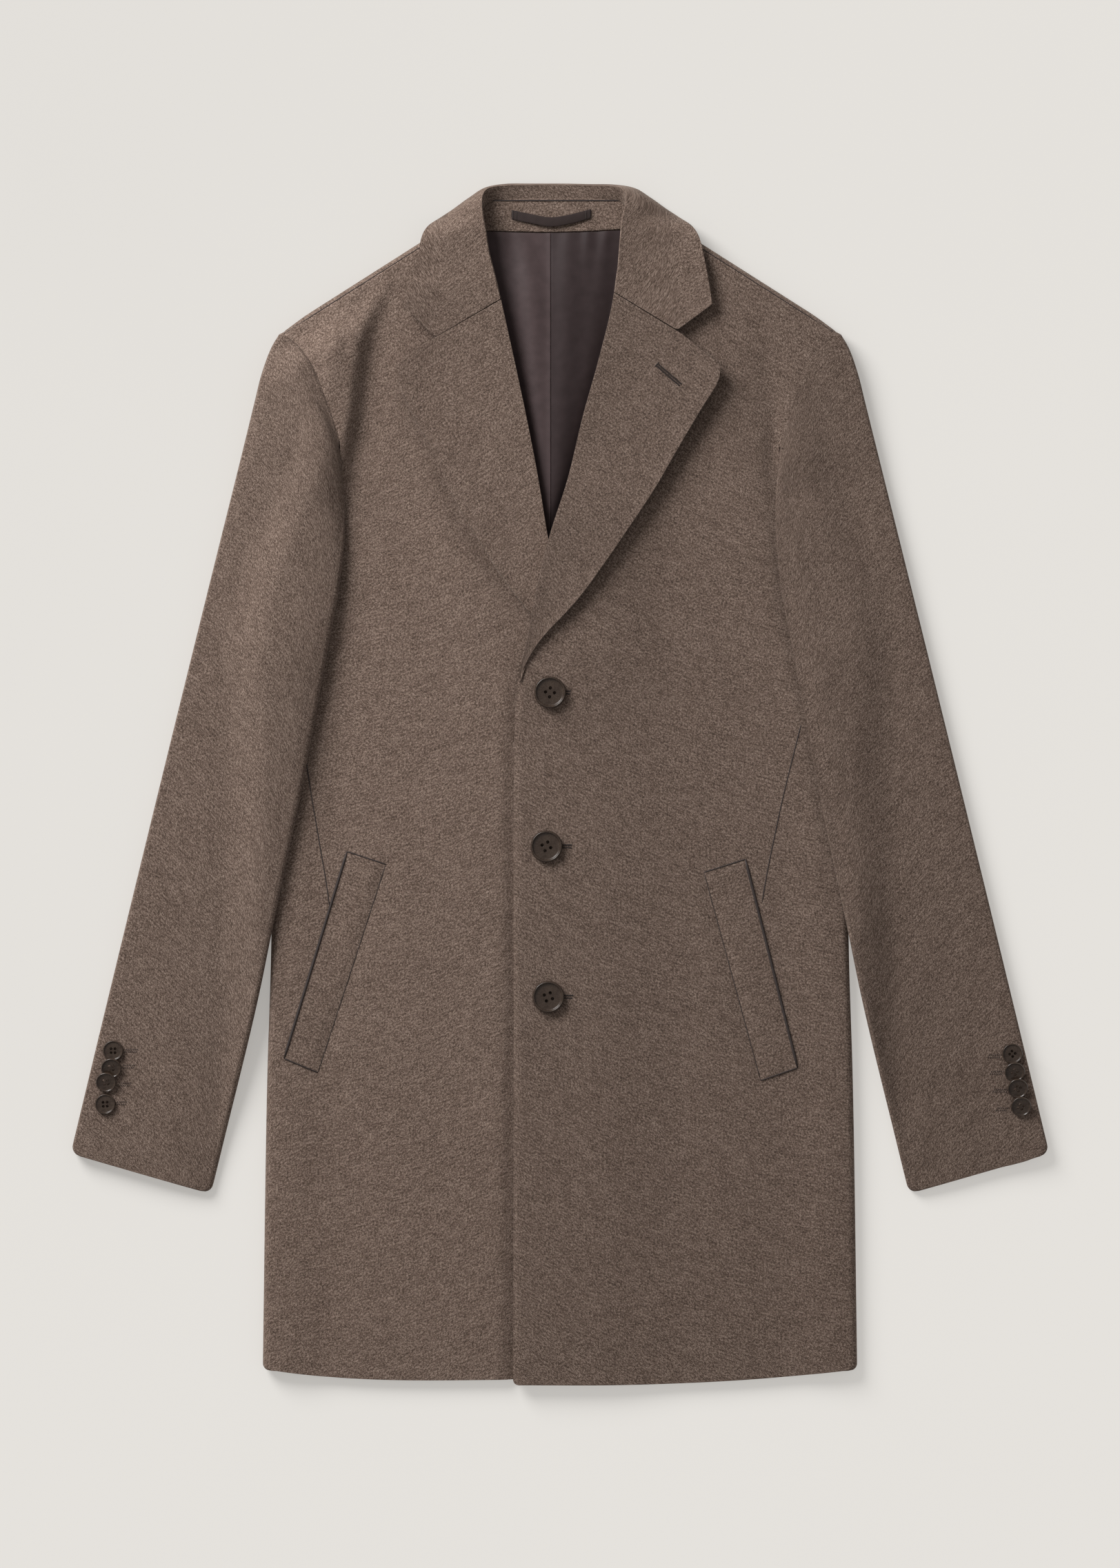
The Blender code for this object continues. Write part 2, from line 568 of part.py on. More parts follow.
def loop_points():
    """The hanger loop, a strap that is sewn down at both ends."""
    rows = []
    for x in np.linspace(LOOP_LINE[0][0], LOOP_LINE[-1][0], LOOP_COLUMNS):
        y = float(along(LOOP_LINE, x))
        reach = (x - LOOP_LINE[0][0]) / (LOOP_LINE[-1][0] - LOOP_LINE[0][0])
        z = LINING_BASE + FACING_WALL + SEAM + LOOP_WALL + LOOP_RISE * math.sin(math.pi * reach)
        rows.append([[x, y + LOOP_WIDTH / 2, z], [x, y, z], [x, y - LOOP_WIDTH / 2, z]])
    return np.array(rows)


def welt_points(corners, under):
    """A pocket welt's outer face, made from the front's own surface moved out."""
    outer_top, inner_top, inner_low, outer_low = (np.array(c) for c in corners)
    rows = []
    for down in np.linspace(0, 1, WELT_GRID[1] + 1):
        row = []
        for over in np.linspace(0, 1, WELT_GRID[0] + 1):
            place = mixed(mixed(outer_top, inner_top, over), mixed(outer_low, inner_low, over), down)
            row.append([*place, surface_height(under, *place) + SEAM + WELT_WALL])
        rows.append(row)
    return np.array(rows)


def surface_height(tree, x, y):
    """Height of the top of a built piece at a place, in millimetres."""
    hit, _, _, _ = tree.ray_cast(Vector((x * MM, y * MM, 1.0)), Vector((0, 0, -1)))
    return hit.z / MM


def material(name, colour, roughness, sheen=0.0):
    made = bpy.data.materials.new(name)
    made.use_nodes = True
    shader = made.node_tree.nodes["Principled BSDF"]
    shader.inputs["Base Color"].default_value = (*colour, 1)
    shader.inputs["Roughness"].default_value = roughness
    shader.inputs["Metallic"].default_value = 0.0
    shader.inputs["Sheen Weight"].default_value = sheen
    return made


def panel(name, points, wall, finish, facing=1, keeps=None):
    """A cloth wall from a grid of points on its outer face, which looks up, or down where facing is -1."""
    count_rows, count_columns, _ = points.shape
    mesh = bpy.data.meshes.new(name)
    shape = bmesh.new()
    bmesh.ops.create_grid(shape, x_segments=count_columns - 1, y_segments=count_rows - 1, size=0.5)
    place = {}
    for vertex in shape.verts:
        column = round((vertex.co.x + 0.5) * (count_columns - 1))
        row = round((0.5 - vertex.co.y) * (count_rows - 1))
        place[vertex] = (row, column)
    for vertex, (row, column) in place.items():
        vertex.co = Vector(points[row, column]) * MM
    if keeps:
        cells = {face: [min(place[v][k] for v in face.verts) for k in (0, 1)] for face in shape.faces}
        gone = [face for face, cell in cells.items() if not keeps(*cell)]
        bmesh.ops.delete(shape, geom=gone, context="FACES")
    shape.normal_update()
    looks_up = sum(face.normal.z * face.calc_area() for face in shape.faces) > 0
    if looks_up != (facing > 0):
        bmesh.ops.reverse_faces(shape, faces=list(shape.faces))
    shape.to_mesh(mesh)
    shape.free()
    mesh.shade_smooth()
    piece = bpy.data.objects.new(name, mesh)
    coat.objects.link(piece)
    solid = piece.modifiers.new("Wall", "SOLIDIFY")
    solid.thickness = wall * MM
    solid.offset = -1
    solid.use_even_offset = True
    piece.data.materials.append(finish)
    return piece


def button(name, size, place, cloth, tilt, finish):
    """A turned button with a raised rim, on a shank of thread. Tilt lifts the edge nearer the collar."""
    shank_radius = SHANK["radius"] * size["radius"]
    seat = height_under(cloth, place, shank_radius) + SEAM
    disc = height_under(cloth, place, size["radius"]) + SEAM + SHANK["least"]
    disc += size["radius"] * math.sin(tilt)
    shank = (disc - seat) / math.cos(tilt) - shank_radius * math.tan(tilt)
    profile = bpy.data.meshes.new(name)
    points = [(r * size["radius"] * MM, 0, z * size["thickness"] * MM) for r, z in BUTTON_PROFILE]
    points += [(shank_radius * MM, 0, 0), (shank_radius * MM, 0, -shank * MM), (0, 0, -shank * MM)]
    profile.from_pydata(points, [(k, k + 1) for k in range(len(points) - 1)], [])
    piece = bpy.data.objects.new(name, profile)
    coat.objects.link(piece)
    turn = piece.modifiers.new("Turned", "SCREW")
    turn.steps = turn.render_steps = size["steps"]
    turn.use_merge_vertices = True
    turn.merge_threshold = 1e-5
    turn.use_smooth_shade = True
    piece.location = Vector((*place, disc)) * MM
    piece.rotation_euler = (tilt, 0, 0)
    piece.data.materials.append(finish)
    return piece


def surface_of(piece):
    bpy.context.view_layer.update()
    return BVHTree.FromObject(piece, bpy.context.evaluated_depsgraph_get())


def height_under(tree, place, radius):
    """The highest point of the cloth under a button."""
    angles = np.linspace(0, 2 * math.pi, RIM_PLACES)
    around = [(radius * math.cos(a), radius * math.sin(a)) for a in angles]
    return max(surface_height(tree, place[0] + dx, place[1] + dy) for dx, dy in [(0, 0), *around])


def add_cuff_buttons(side, places, cloth):
    """Four buttons that lap up the cuff: one that reaches over the button above is tilted onto it."""
    above = None
    for k, place in enumerate(places):
        near = above is not None and math.dist(place, above) < 2 * CUFF_BUTTON["radius"]
        name = f"button_cuff_{SIDE_NAMES[side]}_{k + 1}"
        button(name, CUFF_BUTTON, place, cloth, CUFF_TILT if near else 0.0, horn)
        above = place


for old in list(bpy.data.objects):
    bpy.data.objects.remove(old)
coat = bpy.data.collections.new("single_breasted_coat")
bpy.context.scene.collection.children.link(coat)

wool = material("wool melton", WOOL, 0.9, 0.3)
wool_under = material("wool melton under", WOOL_DARK, 0.92, 0.3)
satin = material("lining satin", SATIN, 0.45)
strap = material("hanger loop", LOOP_CLOTH, 0.6)
horn = material("horn", HORN, 0.3)


def front_keeps(row, column):
    """The side's fold starts below the armhole."""
    return column < FRONT_FLAT_COLUMNS - 1 or FRONT_ROWS[row][1] <= UNDERARM


panel("back", back_points(), WALL, wool_under, facing=-1, keeps=back_keeps)
surfaces = {}
for side in (RIGHT, LEFT):
    which = SIDE_NAMES[side]
    front = panel(f"front_{which}", front_points(side), WALL, wool, keeps=front_keeps)
    welt = WELT_LEFT if side == LEFT else WELT_RIGHT
    surfaces[side] = surface_of(front)
    panel(f"welt_{which}", welt_points(welt, surfaces[side]), WELT_WALL, wool)
    panel(f"lapel_{which}", lapel_points(side), LEAF_WALL, wool)
    sleeve = panel(f"sleeve_upper_{which}", sleeve_upper_points(side), WALL, wool)
    panel(f"sleeve_under_{which}", sleeve_under_points(side), WALL, wool_under, facing=-1)
    panel(f"lining_{which}", lining_points(side), LINING_WALL, satin)
    places = CUFF_BUTTONS_LEFT if side == LEFT else CUFF_BUTTONS_RIGHT
    add_cuff_buttons(side, places, surface_of(sleeve))
panel("collar", collar_points(), LEAF_WALL, wool)
panel("neck_facing", facing_points(), FACING_WALL, wool)
panel("hanger_loop", loop_points(), LOOP_WALL, strap)
for number, spot in enumerate(FRONT_BUTTONS, 1):
    button(f"button_front_{number}", FRONT_BUTTON, spot, surfaces[LEFT], 0.0, horn)
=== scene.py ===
"""Looks of a single-breasted wool coat that lies on its back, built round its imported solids.

Shapes are worked out in millimetres, in the solids' frame: x to the viewer's right, y to the collar, z up
from the surface. "Across" is the distance from the middle towards the side that a piece lies on, so the two
sides share their formulas. The wearer's right is on the viewer's left.
"""

import math

import bpy
import numpy as np
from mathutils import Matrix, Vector
from mathutils.bvhtree import BVHTree


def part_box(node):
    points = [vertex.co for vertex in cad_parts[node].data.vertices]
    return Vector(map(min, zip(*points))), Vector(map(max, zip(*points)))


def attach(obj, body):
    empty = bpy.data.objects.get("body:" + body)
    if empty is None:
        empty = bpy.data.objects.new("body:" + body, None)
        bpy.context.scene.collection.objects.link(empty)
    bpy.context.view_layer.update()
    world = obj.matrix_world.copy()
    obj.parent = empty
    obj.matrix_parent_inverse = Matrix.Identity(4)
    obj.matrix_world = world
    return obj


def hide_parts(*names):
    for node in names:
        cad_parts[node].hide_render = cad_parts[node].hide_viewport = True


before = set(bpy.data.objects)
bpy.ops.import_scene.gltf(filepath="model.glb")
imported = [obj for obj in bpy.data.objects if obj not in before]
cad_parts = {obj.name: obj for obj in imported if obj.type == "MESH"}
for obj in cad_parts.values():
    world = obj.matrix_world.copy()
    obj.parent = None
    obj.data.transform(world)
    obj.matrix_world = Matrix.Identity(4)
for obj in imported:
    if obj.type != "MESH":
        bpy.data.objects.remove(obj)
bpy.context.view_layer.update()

MM = 0.001
LEFT, RIGHT = 1, -1
SIDE_NAMES = {RIGHT: "right", LEFT: "left"}

# Higher than any cloth, for rays that look down on it
ABOVE_ALL = 200.0

# Cloth: walls, seams, spacing of its points and round edges
WALL = 2.8
LEAF_WALL = 2.4
LINING_WALL = 1.0
FACING_WALL = 2.0
WELT_WALL = 2.0
SEAM = 0.3
LAY = 0.5
ROW_STEP = 5.0
COLUMN_STEP = 4.5
EDGE_PLACES = (0.0, 0.5, 1.2, 2.2, 3.6, 5.6, 8.2)
EDGE_ROUND = 0.9
THIN_EDGE = 0.5
STRAP_EDGE = 0.3
LINING_EDGE = 0.25
EDGE_ANGLE = 62
EDGE_SEGMENTS = 3
# A width for the columns of each kind of panel, which places those near its edge
FRONT_WIDTH = 215.0
LAPEL_WIDTH = 85.0
FALL_WIDTH = 60.0

# Folds of the body and sleeves
SHOULDER_SLOPE = 0.636
SHOULDER_START = (115.0, 420.7)
SHOULDER_DROP = 2.4
SHOULDER_DROP_ACROSS = (192.0, 222.0)
SHOULDER_RADIUS = 7.0
SHOULDER_SEAM = 4.0
SHOULDER_LIP = 0.8
SHOULDER_GAP = 0.5
SIDE_TAIL = 12.0
# How far the fronts puff up before the side's fold: from where to where, and from which y down
SIDE_PUFF = 3.4
PUFF_FROM_FOLD = (55.0, 14.0)
PUFF_Y = (165.0, 95.0)
FOLD_STEPS = 12
SLEEVE_TAIL = 20.0
TAIL_SHARES = (0.25, 0.5, 0.75, 1.0)
HEAD_TAIL_CUT = 0.8
LAPEL_FOLD = 10.0
LAPEL_GAP = 0.6
LAPEL_SQUEEZE = 0.06
ARMHOLE_GAP = 0.4
ARMHOLE_POINTS = 40

# The left front's lift over the right one and over its lapel: where each starts and is whole
OVERLAP_RISE = WALL + LAY
OVERLAP_ACROSS = (100.0, 22.0)
OVERLAP_Y = (260.0, 200.0)
LAPEL_RISE = 4.4
LAPEL_RISE_ACROSS = (90.0, 10.0)
LAPEL_RISE_TOP = (275.0, 200.0)
LAPEL_RISE_END = (20.0, 100.0)

# The hem's bow, how much lower the left front hangs at its edge, and the corners' radii
HEM_BOW = {RIGHT: 4.6, LEFT: 4.4}
HEM_BOW_SKEW = {RIGHT: 2.0, LEFT: 1.2}
HEM_BOW_Y = (-330.0, -467.0)
HEM_DROP_LEFT = 3.5
HEM_DROP_Y = (-380.0, -467.0)
HEM_CORNER = 5.5
EDGE_CORNER = 4.5
CUFF_CORNER = 7.0

# Rows of the body's height: distance from the shoulder line, height of the cloth
BODY_HEIGHT = ((0, 14), (30, 13), (70, 11.8), (130, 10.4), (220, 9), (400, 8), (900, 7.7))
# Creases of the fronts, below zero for a ridge: y, across, depth, width
CREASES = {
    RIGHT: (
        (
            (400, 94, 0, 14), (371, 114, -0.8, 16), (331, 125, -1.2, 16), (291, 130, -1.2, 17),
            (232, 138, -1, 18), (150, 144, 0, 22),
        ),
        ((392, 158, 0, 9), (368, 174, -2.2, 10), (345, 177, -2.8, 10), (320, 178, -2.4, 9), (292, 176, 0, 8)),
        ((-40, 100, 0, 22), (-130, 92, 0.7, 24), (-260, 96, 0.6, 26), (-400, 90, 0, 26)),
        (
            (104, 27, 0, 5.5), (84, 30.6, 1.4, 5.5), (60, 33, 2.6, 5.5), (30, 34.4, 3, 5.5),
            (-100, 34.8, 3.6, 5.5), (-300, 35.2, 4, 5.5), (-470, 35.4, 4, 5.5),
        ),
        (
            (270, 130, 0, 18), (226, 112, -1.4, 20), (195, 95, -2.4, 20), (162, 75, -2.8, 20),
            (133, 56, -2.4, 19), (112, 46, -0.8, 18), (95, 40, 0, 18),
        ),
        (
            (-46, 131.5, 0, 4), (-64, 137.3, 0.9, 4.5), (-145, 163.8, 1, 4.5), (-222, 189, 0.9, 4.5),
            (-240, 194.5, 0, 4),
        ),
    ),
    LEFT: (
        (
            (372, 158, 0, 11), (340, 162, 1.4, 11), (311, 165, 2.2, 11), (290, 167, 2.4, 9), (263, 167, 3, 6),
            (240, 165, 2.2, 7), (204, 163, 1.2, 10), (170, 166, 0, 12),
        ),
        (
            (385, 118, 0, 14), (330, 128, -1, 16), (280, 134, -1.3, 18), (210, 136, -0.7, 20),
            (150, 138, 0, 22),
        ),
        ((-60, 92, 0, 24), (-150, 84, 0.6, 26), (-300, 90, 0.6, 26), (-420, 88, 0, 26)),
        (
            (250, 160, 0, 20), (215, 164, -2.4, 26), (157, 170, -3, 30), (107, 179, -3, 32),
            (56, 188, -3, 32), (0, 199, -2.6, 30), (-60, 211, -1, 26), (-100, 218, 0, 24),
        ),
        (
            (96, -29.6, 0, 2.6), (84, -32.3, 0.8, 2.6), (60, -34.8, 1.2, 2.6), (0, -36, 1.3, 2.6),
            (-300, -36.4, 1.3, 2.6), (-470, -36.8, 1.3, 2.6),
        ),
        (
            (-52, 108, 0, 4), (-70, 113, 0.9, 4.5), (-150, 134.8, 1, 4.5), (-229, 156.5, 0.9, 4.5),
            (-246, 161, 0, 4),
        ),
    ),
}
# The dip of the right front along the edge of its lapel: y, across, depth, width
LAPEL_DIP = (
    (330, 129, 0, 6), (300, 120, 0.9, 6), (260, 98.5, 1.8, 7), (226, 84, 3, 9), (195, 66, 4, 11),
    (162, 45, 4.4, 11), (133, 22.7, 3.6, 10), (112, 4, 1.6, 8), (95, -9, 0, 7),
)
# The rise of a front from the chest to the armhole: y, across, height, half of its width
ARMHOLE_STEP = {
    RIGHT: (
        (406, 122, 0, 6), (392, 131, 3.4, 6), (374, 142, 6.6, 5.5), (351, 151, 10, 5.8),
        (331, 155.2, 11.4, 5.8), (311, 157.8, 12, 5.8), (291, 160, 12, 5.8), (264, 164.6, 10.4, 6),
        (240, 167.5, 5.4, 6), (215, 168, 0, 6),
    ),
    LEFT: ((264, 165, 0, 6), (215, 165, 0, 6)),
}
STEP_FROM_SHOULDER = (6, 34)
# Where a front's flat part ends at the armhole and then at the side's fold: y, across
FRONT_OUTER = (
    (351.8, 216), (344, 206), (329, 194.5), (307, 185), (283, 176.5), (262, 171.7), (250, 175),
    (235, 180), (200, 191), (165, 204), (145, 213), (120, 215), (20, 218), (-152.8, 221.3), (-217, 223.5),
    (-325, 225.6), (-400, 226.6), (-460, 227.4),
)
UNDERARM = 145.0
# A front's sections: y at its inner edge, y at its outer edge
FRONT_ROWS = (
    (446, 351.8), (440.5, 346), (420, 328), (400, 306), (377, 284), (345, 260), (310, 232), (272, 200),
    (235, 168), (205, 145), (180, 118), (150, 90), (122, 66), (97, 44), (66, 18), (10, -30), (-80, -105),
    (-175, -190), (-270, -278), (-365, -367), (-430, -429), (-467.3, -459.5),
)
# Roll lines from the collar to the lowest point of the lapel: y, across
ROLL = {
    RIGHT: (
        (452, 60), (430, 58), (413, 54.6), (400, 51.2), (390, 48.4), (379, 46), (330, 35.2), (290, 26.7),
        (236, 16.3), (195, 9.6), (128, -4.3), (88, -11.2),
    ),
    LEFT: (
        (465, 51), (452, 50.2), (438, 47.8), (412, 45.4), (398, 43.9), (384.5, 42.2), (330, 29.6),
        (290, 18.4), (236, 5.2), (195, -7.9), (141, -20.5), (128, -22.8), (101, -28.4), (88, -31.6),
        (79, -33.2), (63.6, -34.8), (50, -35.6),
    ),
}
# Front edges under the lapels, and the fronts' neck edges above them: y, across. The rolls lie between, and
# a roll runs into the edge below it over the given stretch of y
FRONT_EDGE = {
    RIGHT: ((97, -9.8), (84, -13.2), (66, -16.2), (40, -17.4), (-475, -17.5)),
    LEFT: (
        (97, -29.4), (84, -32.3), (73.4, -33.6), (63.6, -34.6), (50, -35.3), (30, -35.8), (-150, -36.2),
        (-475, -36.8),
    ),
}
ROLL_TO_EDGE = (90, 104)
NECK_EDGE = ((455, 68), (430, 66.5), (405, 62.5), (385, 59), (370, 57))
NECK_END = 377.5
LAPEL_END_Y = {RIGHT: (88, 120), LEFT: (78, 120)}
LEAST_FOLD = 0.25
# Lapels: y on the roll line, across and y of the outer edge
LAPEL = {
    RIGHT: (
        (378.5, 128, 327.5), (362, 126, 314), (338, 115.5, 289), (300, 98.3, 259.7), (262, 84, 226),
        (225, 66, 195), (190, 45, 162), (155, 22.7, 133), (122, 3, 112), (100.5, 0.6, 101.5),
    ),
    LEFT: (
        (383.9, 125.5, 326.5), (366, 123.5, 315), (338, 110.2, 293), (300, 90.7, 260), (262, 74, 231),
        (225, 55.5, 203), (190, 36.7, 175.5), (158, 15.5, 146.5), (136, 1, 130), (120, -9.5, 119.5),
        (108, -18, 109), (98, -24.6, 98.5), (91, -28, 91.3), (85, -30.9, 85.2), (80.5, -32.4, 80.6),
    ),
}
LAPEL_STEP = 4.0
LAPEL_COLUMN_SHARE = 0.045
# Turned-out cloth of collar and lapels: y, height over the front at the roll and at the edge, reach across.
# Between them it hangs to a share of the lower one
LEAF = {
    RIGHT: (
        (440, 9.6, 6.5, 48), (413, 9.4, 6.5, 56), (400, 9, 7.2, 62), (388, 8.6, 9.4, 68),
        (372, 8.2, 9.6, 78), (352, 7.8, 7.6, 88), (330, 7.4, 5, 92), (290, 6.4, 4, 86),
        (250, 5.6, 3.9, 72), (200, 5, 3.9, 56), (150, 4.6, 3.9, 38), (100, 3.8, 3.2, 14),
    ),
    LEFT: (
        (440, 9.6, 8, 58), (413, 9.4, 8.5, 66), (400, 9, 8.8, 70), (388, 8.7, 9.2, 75),
        (372, 8.4, 9.8, 82), (330, 7.8, 12.6, 94), (290, 7, 12.8, 92), (250, 6.4, 11.6, 80),
        (200, 5.8, 9.8, 62), (150, 5.2, 8.2, 38), (120, 4.4, 5.6, 16), (100, 3.2, 3.6, 6),
        (91, 2, 2.2, 4), (85, 0.7, 0.8, 3), (80, -0.8, -0.8, 3),
    ),
}
LEAF_SAG = 0.78
# The collar from the middle of the back to its end: across, y, z of its neck seam, its roll and its edge
COLLAR = (
    (0, 457.3, 4.6, 0, 468.4, 7, 0, 470.2, 0.4),
    (20, 457.3, 4.6, 20, 468.4, 7.2, 20.4, 470.2, 0.4),
    (40, 457.3, 4.6, 41.5, 468, 9.4, 42.5, 470, 0.4),
    (52.6, 456.6, 5, 54.6, 466.2, 13.6, 58.8, 467.2, 0.4),
    (58.4, 453.8, 6, 59.4, 461.4, 18.4, 70.5, 460.2, 0.4),
    (61.4, 448.5, 7.5, 60.3, 454, 21.8, 81, 453, 0.6),
    (62.3, 442, 9, 59.8, 446.5, 23.6, 93, 444.8, 3.5),
    (62.3, 435, 10, 58.8, 439.5, 24, 103.6, 436.4, 12.5),
    (61.8, 427, 10.2, 57.4, 431.5, 23.8, 108.6, 426, 18),
    (60.2, 413, 10, 55, 416, 23, 110.8, 410.5, 18),
    (57.6, 399.5, 9.8, 51.5, 402, 24.2, 114, 396, 18),
    (54.6, 388, 9.2, 48.7, 391, 22, 118, 384.5, 17.6),
    (52, 377.4, 8.8, 46.1, 379.3, 20, 121.8, 373.2, 17.2),
)
# How the collar's left half differs: row, across and y of its seam and roll, across and y of its edge
COLLAR_LEFT = (
    (0, 0, 0, 0, 0), (1, -1.8, 0, 0, 0), (2, -4.6, 0, 0, 0), (3, -7, 0, 0, 0),
    (4, -8.2, 0, 0, 0), (5, -9.6, 0, 0, 0), (6, -10.6, 0, 0, 0), (7, -11, 0, 0, 0),
    (8, -10.4, 0, 0.6, 0), (9, -9.2, 0, 1.8, 0), (10, -6.8, 0.8, 1.4, 0.2), (11, -5.4, 2.6, -0.8, 0.6),
    (12, -3.9, 5.2, -3, 1.6),
)
COLLAR_STEP = 0.1
# The collar's roll, behind the neck and then at its sides: radius, angle where it starts, rows between them
CREST_RADIUS = (1.7, 2.5)
CREST_SQUEEZE = 0.4
CREST_ROWS = (3, 7)
CREST_START = (104, 168)
CREST_END = 76.0
CREST_STEPS = 7
STAND_STEPS = 8
FALL_STEPS = 26
# The fall lies on the front after the first of these rows, and its height is all the front's after the second
LYING_ROWS = (7.4, 9.4)
# Behind the neck the fall bulges out and hangs, which ends between these rows
BEHIND_ROWS = (4.5, 7.5)
FALL_BULGE = 1.8
FALL_BULGE_HEIGHT = 0.62
# The notch between collar and lapel: its share of the way from roll to edge, how far the collar's end comes
# down to it and the lapel's end comes up to it
NOTCH = {RIGHT: (0.678, 25.9, 2.6), LEFT: (0.645, 23.6, 4.2)}
NOTCH_ROWS = 3.2
GORGE_FADE = 45.0
# The back from neck to hem: y in the middle, across and y of its side, how far it keeps the shoulders' line
BACK_ROWS = (
    (456.2, 212, 350.7, 1), (428, 201, 325, 0.92), (385, 193.5, 290, 0.8), (325, 190.5, 245, 0.55),
    (260, 192.5, 198, 0.3), (195, 198, 152, 0.1), (135, 202, 118, 0), (40, 204.8, 30, 0),
    (-80, 207, -85, 0), (-200, 210, -200, 0), (-330, 212.8, -328, 0), (-465.5, 215.6, -459, 0),
)
BACK_COLUMNS = 81
BACK_STEP = 0.25
NECK_COLUMNS = 0.3
# The sleeves' folds: y, across
SLEEVE_INNER = (
    (262, 172.2), (235, 169.2), (200, 168.3), (157, 172), (107, 181), (56, 190.5), (0, 201),
    (-60, 213.5), (-122, 226.5), (-152.8, 232.7), (-282.4, 264.1), (-322, 273.9),
)
SLEEVE_OUTER = (
    (353, 219.6), (344, 225), (322.4, 233.2), (300.8, 238.7), (279.2, 244.1), (236, 254.9), (-282.4, 381.8),
    (-292, 384.1),
)
# The body's side under the sleeves, where they step down: y, across
SIDE = (
    (300, 160), (262, 172), (140, 220), (20, 223.5), (-152.8, 226.8), (-217, 229), (-325, 230.6),
    (-475, 231.3),
)
# Sleeve sections: y at the inner fold, y at the outer fold, share of the armhole's bow, share of the head
SLEEVE_ROWS = (
    (262, 352.2, 1, 1), (254, 343, 0.92, 0.95), (238, 324, 0.74, 0.8), (208, 290, 0.48, 0.5),
    (165, 242, 0.2, 0.15), (115, 182, 0, 0), (60, 118, 0, 0), (0, 48, 0, 0), (-60, -20, 0, 0),
    (-115, -82, 0, 0), (-165, -132, 0, 0), (-215, -183, 0, 0), (-262, -233, 0, 0),
    (-295, -265, 0, 0), (-321.2, -289.4, 0, 0),
)
UNDER_TOP = 165.0
UNDER_STEP = 12.0
UNDER_COLUMNS = 12
# Height of the sleeve's cloth over what it lies on: place across, height
SLEEVE_HEIGHT = {
    RIGHT: (
        (0, 7.2), (0.05, 8), (0.1, 8.5), (0.2, 9.2), (0.3, 9.6), (0.4, 9.8), (0.6, 9.8), (0.8, 9.6), (1, 9.4),
    ),
    LEFT: ((0, 5.8), (0.1, 6.5), (0.25, 7.1), (0.5, 7.4), (0.7, 8), (0.82, 9), (0.9, 9.6), (1, 9.8)),
}
# What is added to it beside the body: place across, height, then the share of that at each y. The right
# sleeve lies high there and the left one is level with the front, which it presses down
SLEEVE_LIFT = {
    RIGHT: ((0, 5), (0.25, 5), (0.5, 4.7), (0.75, 3.9), (1, 2)),
    LEFT: (
        (0, -6.7), (0.04, -5), (0.08, -3.2), (0.12, -2.3), (0.2, -1.7), (0.3, -1.4), (0.5, -0.7),
        (0.75, -0.2), (1, 0),
    ),
}
LIFT_SHARE = {
    RIGHT: ((262, 0), (235, 0.7), (190, 1), (110, 0.9), (30, 0.6), (-40, 0.3), (-150, 0)),
    LEFT: ((262, 1), (100, 1), (20, 1), (-20, 0.95), (-70, 0.45), (-110, 0)),
}
# How far a sleeve presses the front down, from where to where across its inner fold, and where that ends
PRESSED = {RIGHT: 0.0, LEFT: 6.0}
PRESSED_ACROSS = (-9, 13)
PRESSED_LOW = (-110, -20)
PRESSED_TOP = (262, 225)
# A sleeve's folds: their least thickness at its head, how far inside the seam's end the front's height is
# taken, and how flat the outer one is
HEAD_FOLD = 3.0
HEAD_REACH = 5.0
OUTER_SQUEEZE = 0.4
HEAD_PUFF = {RIGHT: 3.0, LEFT: 1.2}
HEAD_COLUMNS = 30
# The height of the sleeve's head over the front at the seam: place across, height
HEAD_PROUD = {
    RIGHT: ((0, 0), (1, 0)),
    LEFT: ((0, 0.1), (0.7, 0.1), (0.86, -0.05), (1, -0.2)),
}
# How far a sleeve's head rises beside its seam, within what distance, where it has fallen again, and its
# share across
HEAD_ROLL = {RIGHT: 4.2, LEFT: 0.0}
HEAD_ROLL_RISE = (0, 13)
HEAD_ROLL_FALL = (40, 110)
HEAD_ROLL_SHARE = ((0, 0.3), (0.15, 1), (0.4, 1), (0.7, 0.5), (0.9, 0.1), (1, 0))
# How a sleeve's head runs on past its seam: distance, height over the front. The right one drops under the
# front and the left one sinks into it. That fades in from the inner end, and out at the outer one
HEAD_TUCK = {
    RIGHT: ((13, -5), (8, -4.2), (4.5, -3), (2.4, -1.6), (0.9, -0.5)),
    LEFT: ((13, -4), (8.5, -1.8), (5.8, -0.5), (3.6, -0.08), (1.6, 0)),
}
HEAD_TUCK_FROM = (0, 0.3)
HEAD_TUCK_LEAST = {RIGHT: 0.02, LEFT: 0.35}
HEAD_TUCK_END = (0.8, 1)
# Where a sleeve steps down off the body, from the side's fold, and its gap over the front
SLEEVE_STEP = (-40, -3)
SLEEVE_LAY = 0.9
# Pocket welts, corners in x and y: outer top, inner top, inner bottom, outer bottom
WELTS = {
    RIGHT: ((-166.8, -52.9), (-136.4, -62.9), (-189.6, -225.9), (-215.9, -214.8)),
    LEFT: ((145.1, -58.9), (112.8, -69.2), (157.2, -232.3), (186, -222.2)),
}
WELT_STEP = 0.03
WELT_COLUMNS = 13
WELT_LINE_POINTS = 24
# How far a welt stands out, the radii of its lines and how far its inner seam comes out of the cloth
# The welt's lines are dark threads: the mouth's paints the shadow in the pocket's opening, the others stand
# for thread and also paint shade in its seams
WELT_PROUD = 0.55
WELT_MOUTH = 1.05
WELT_ENDS = 0.5
WELT_SEAM = 0.32
WELT_SEAM_SHOWN = {RIGHT: 0.5, LEFT: 0.95}
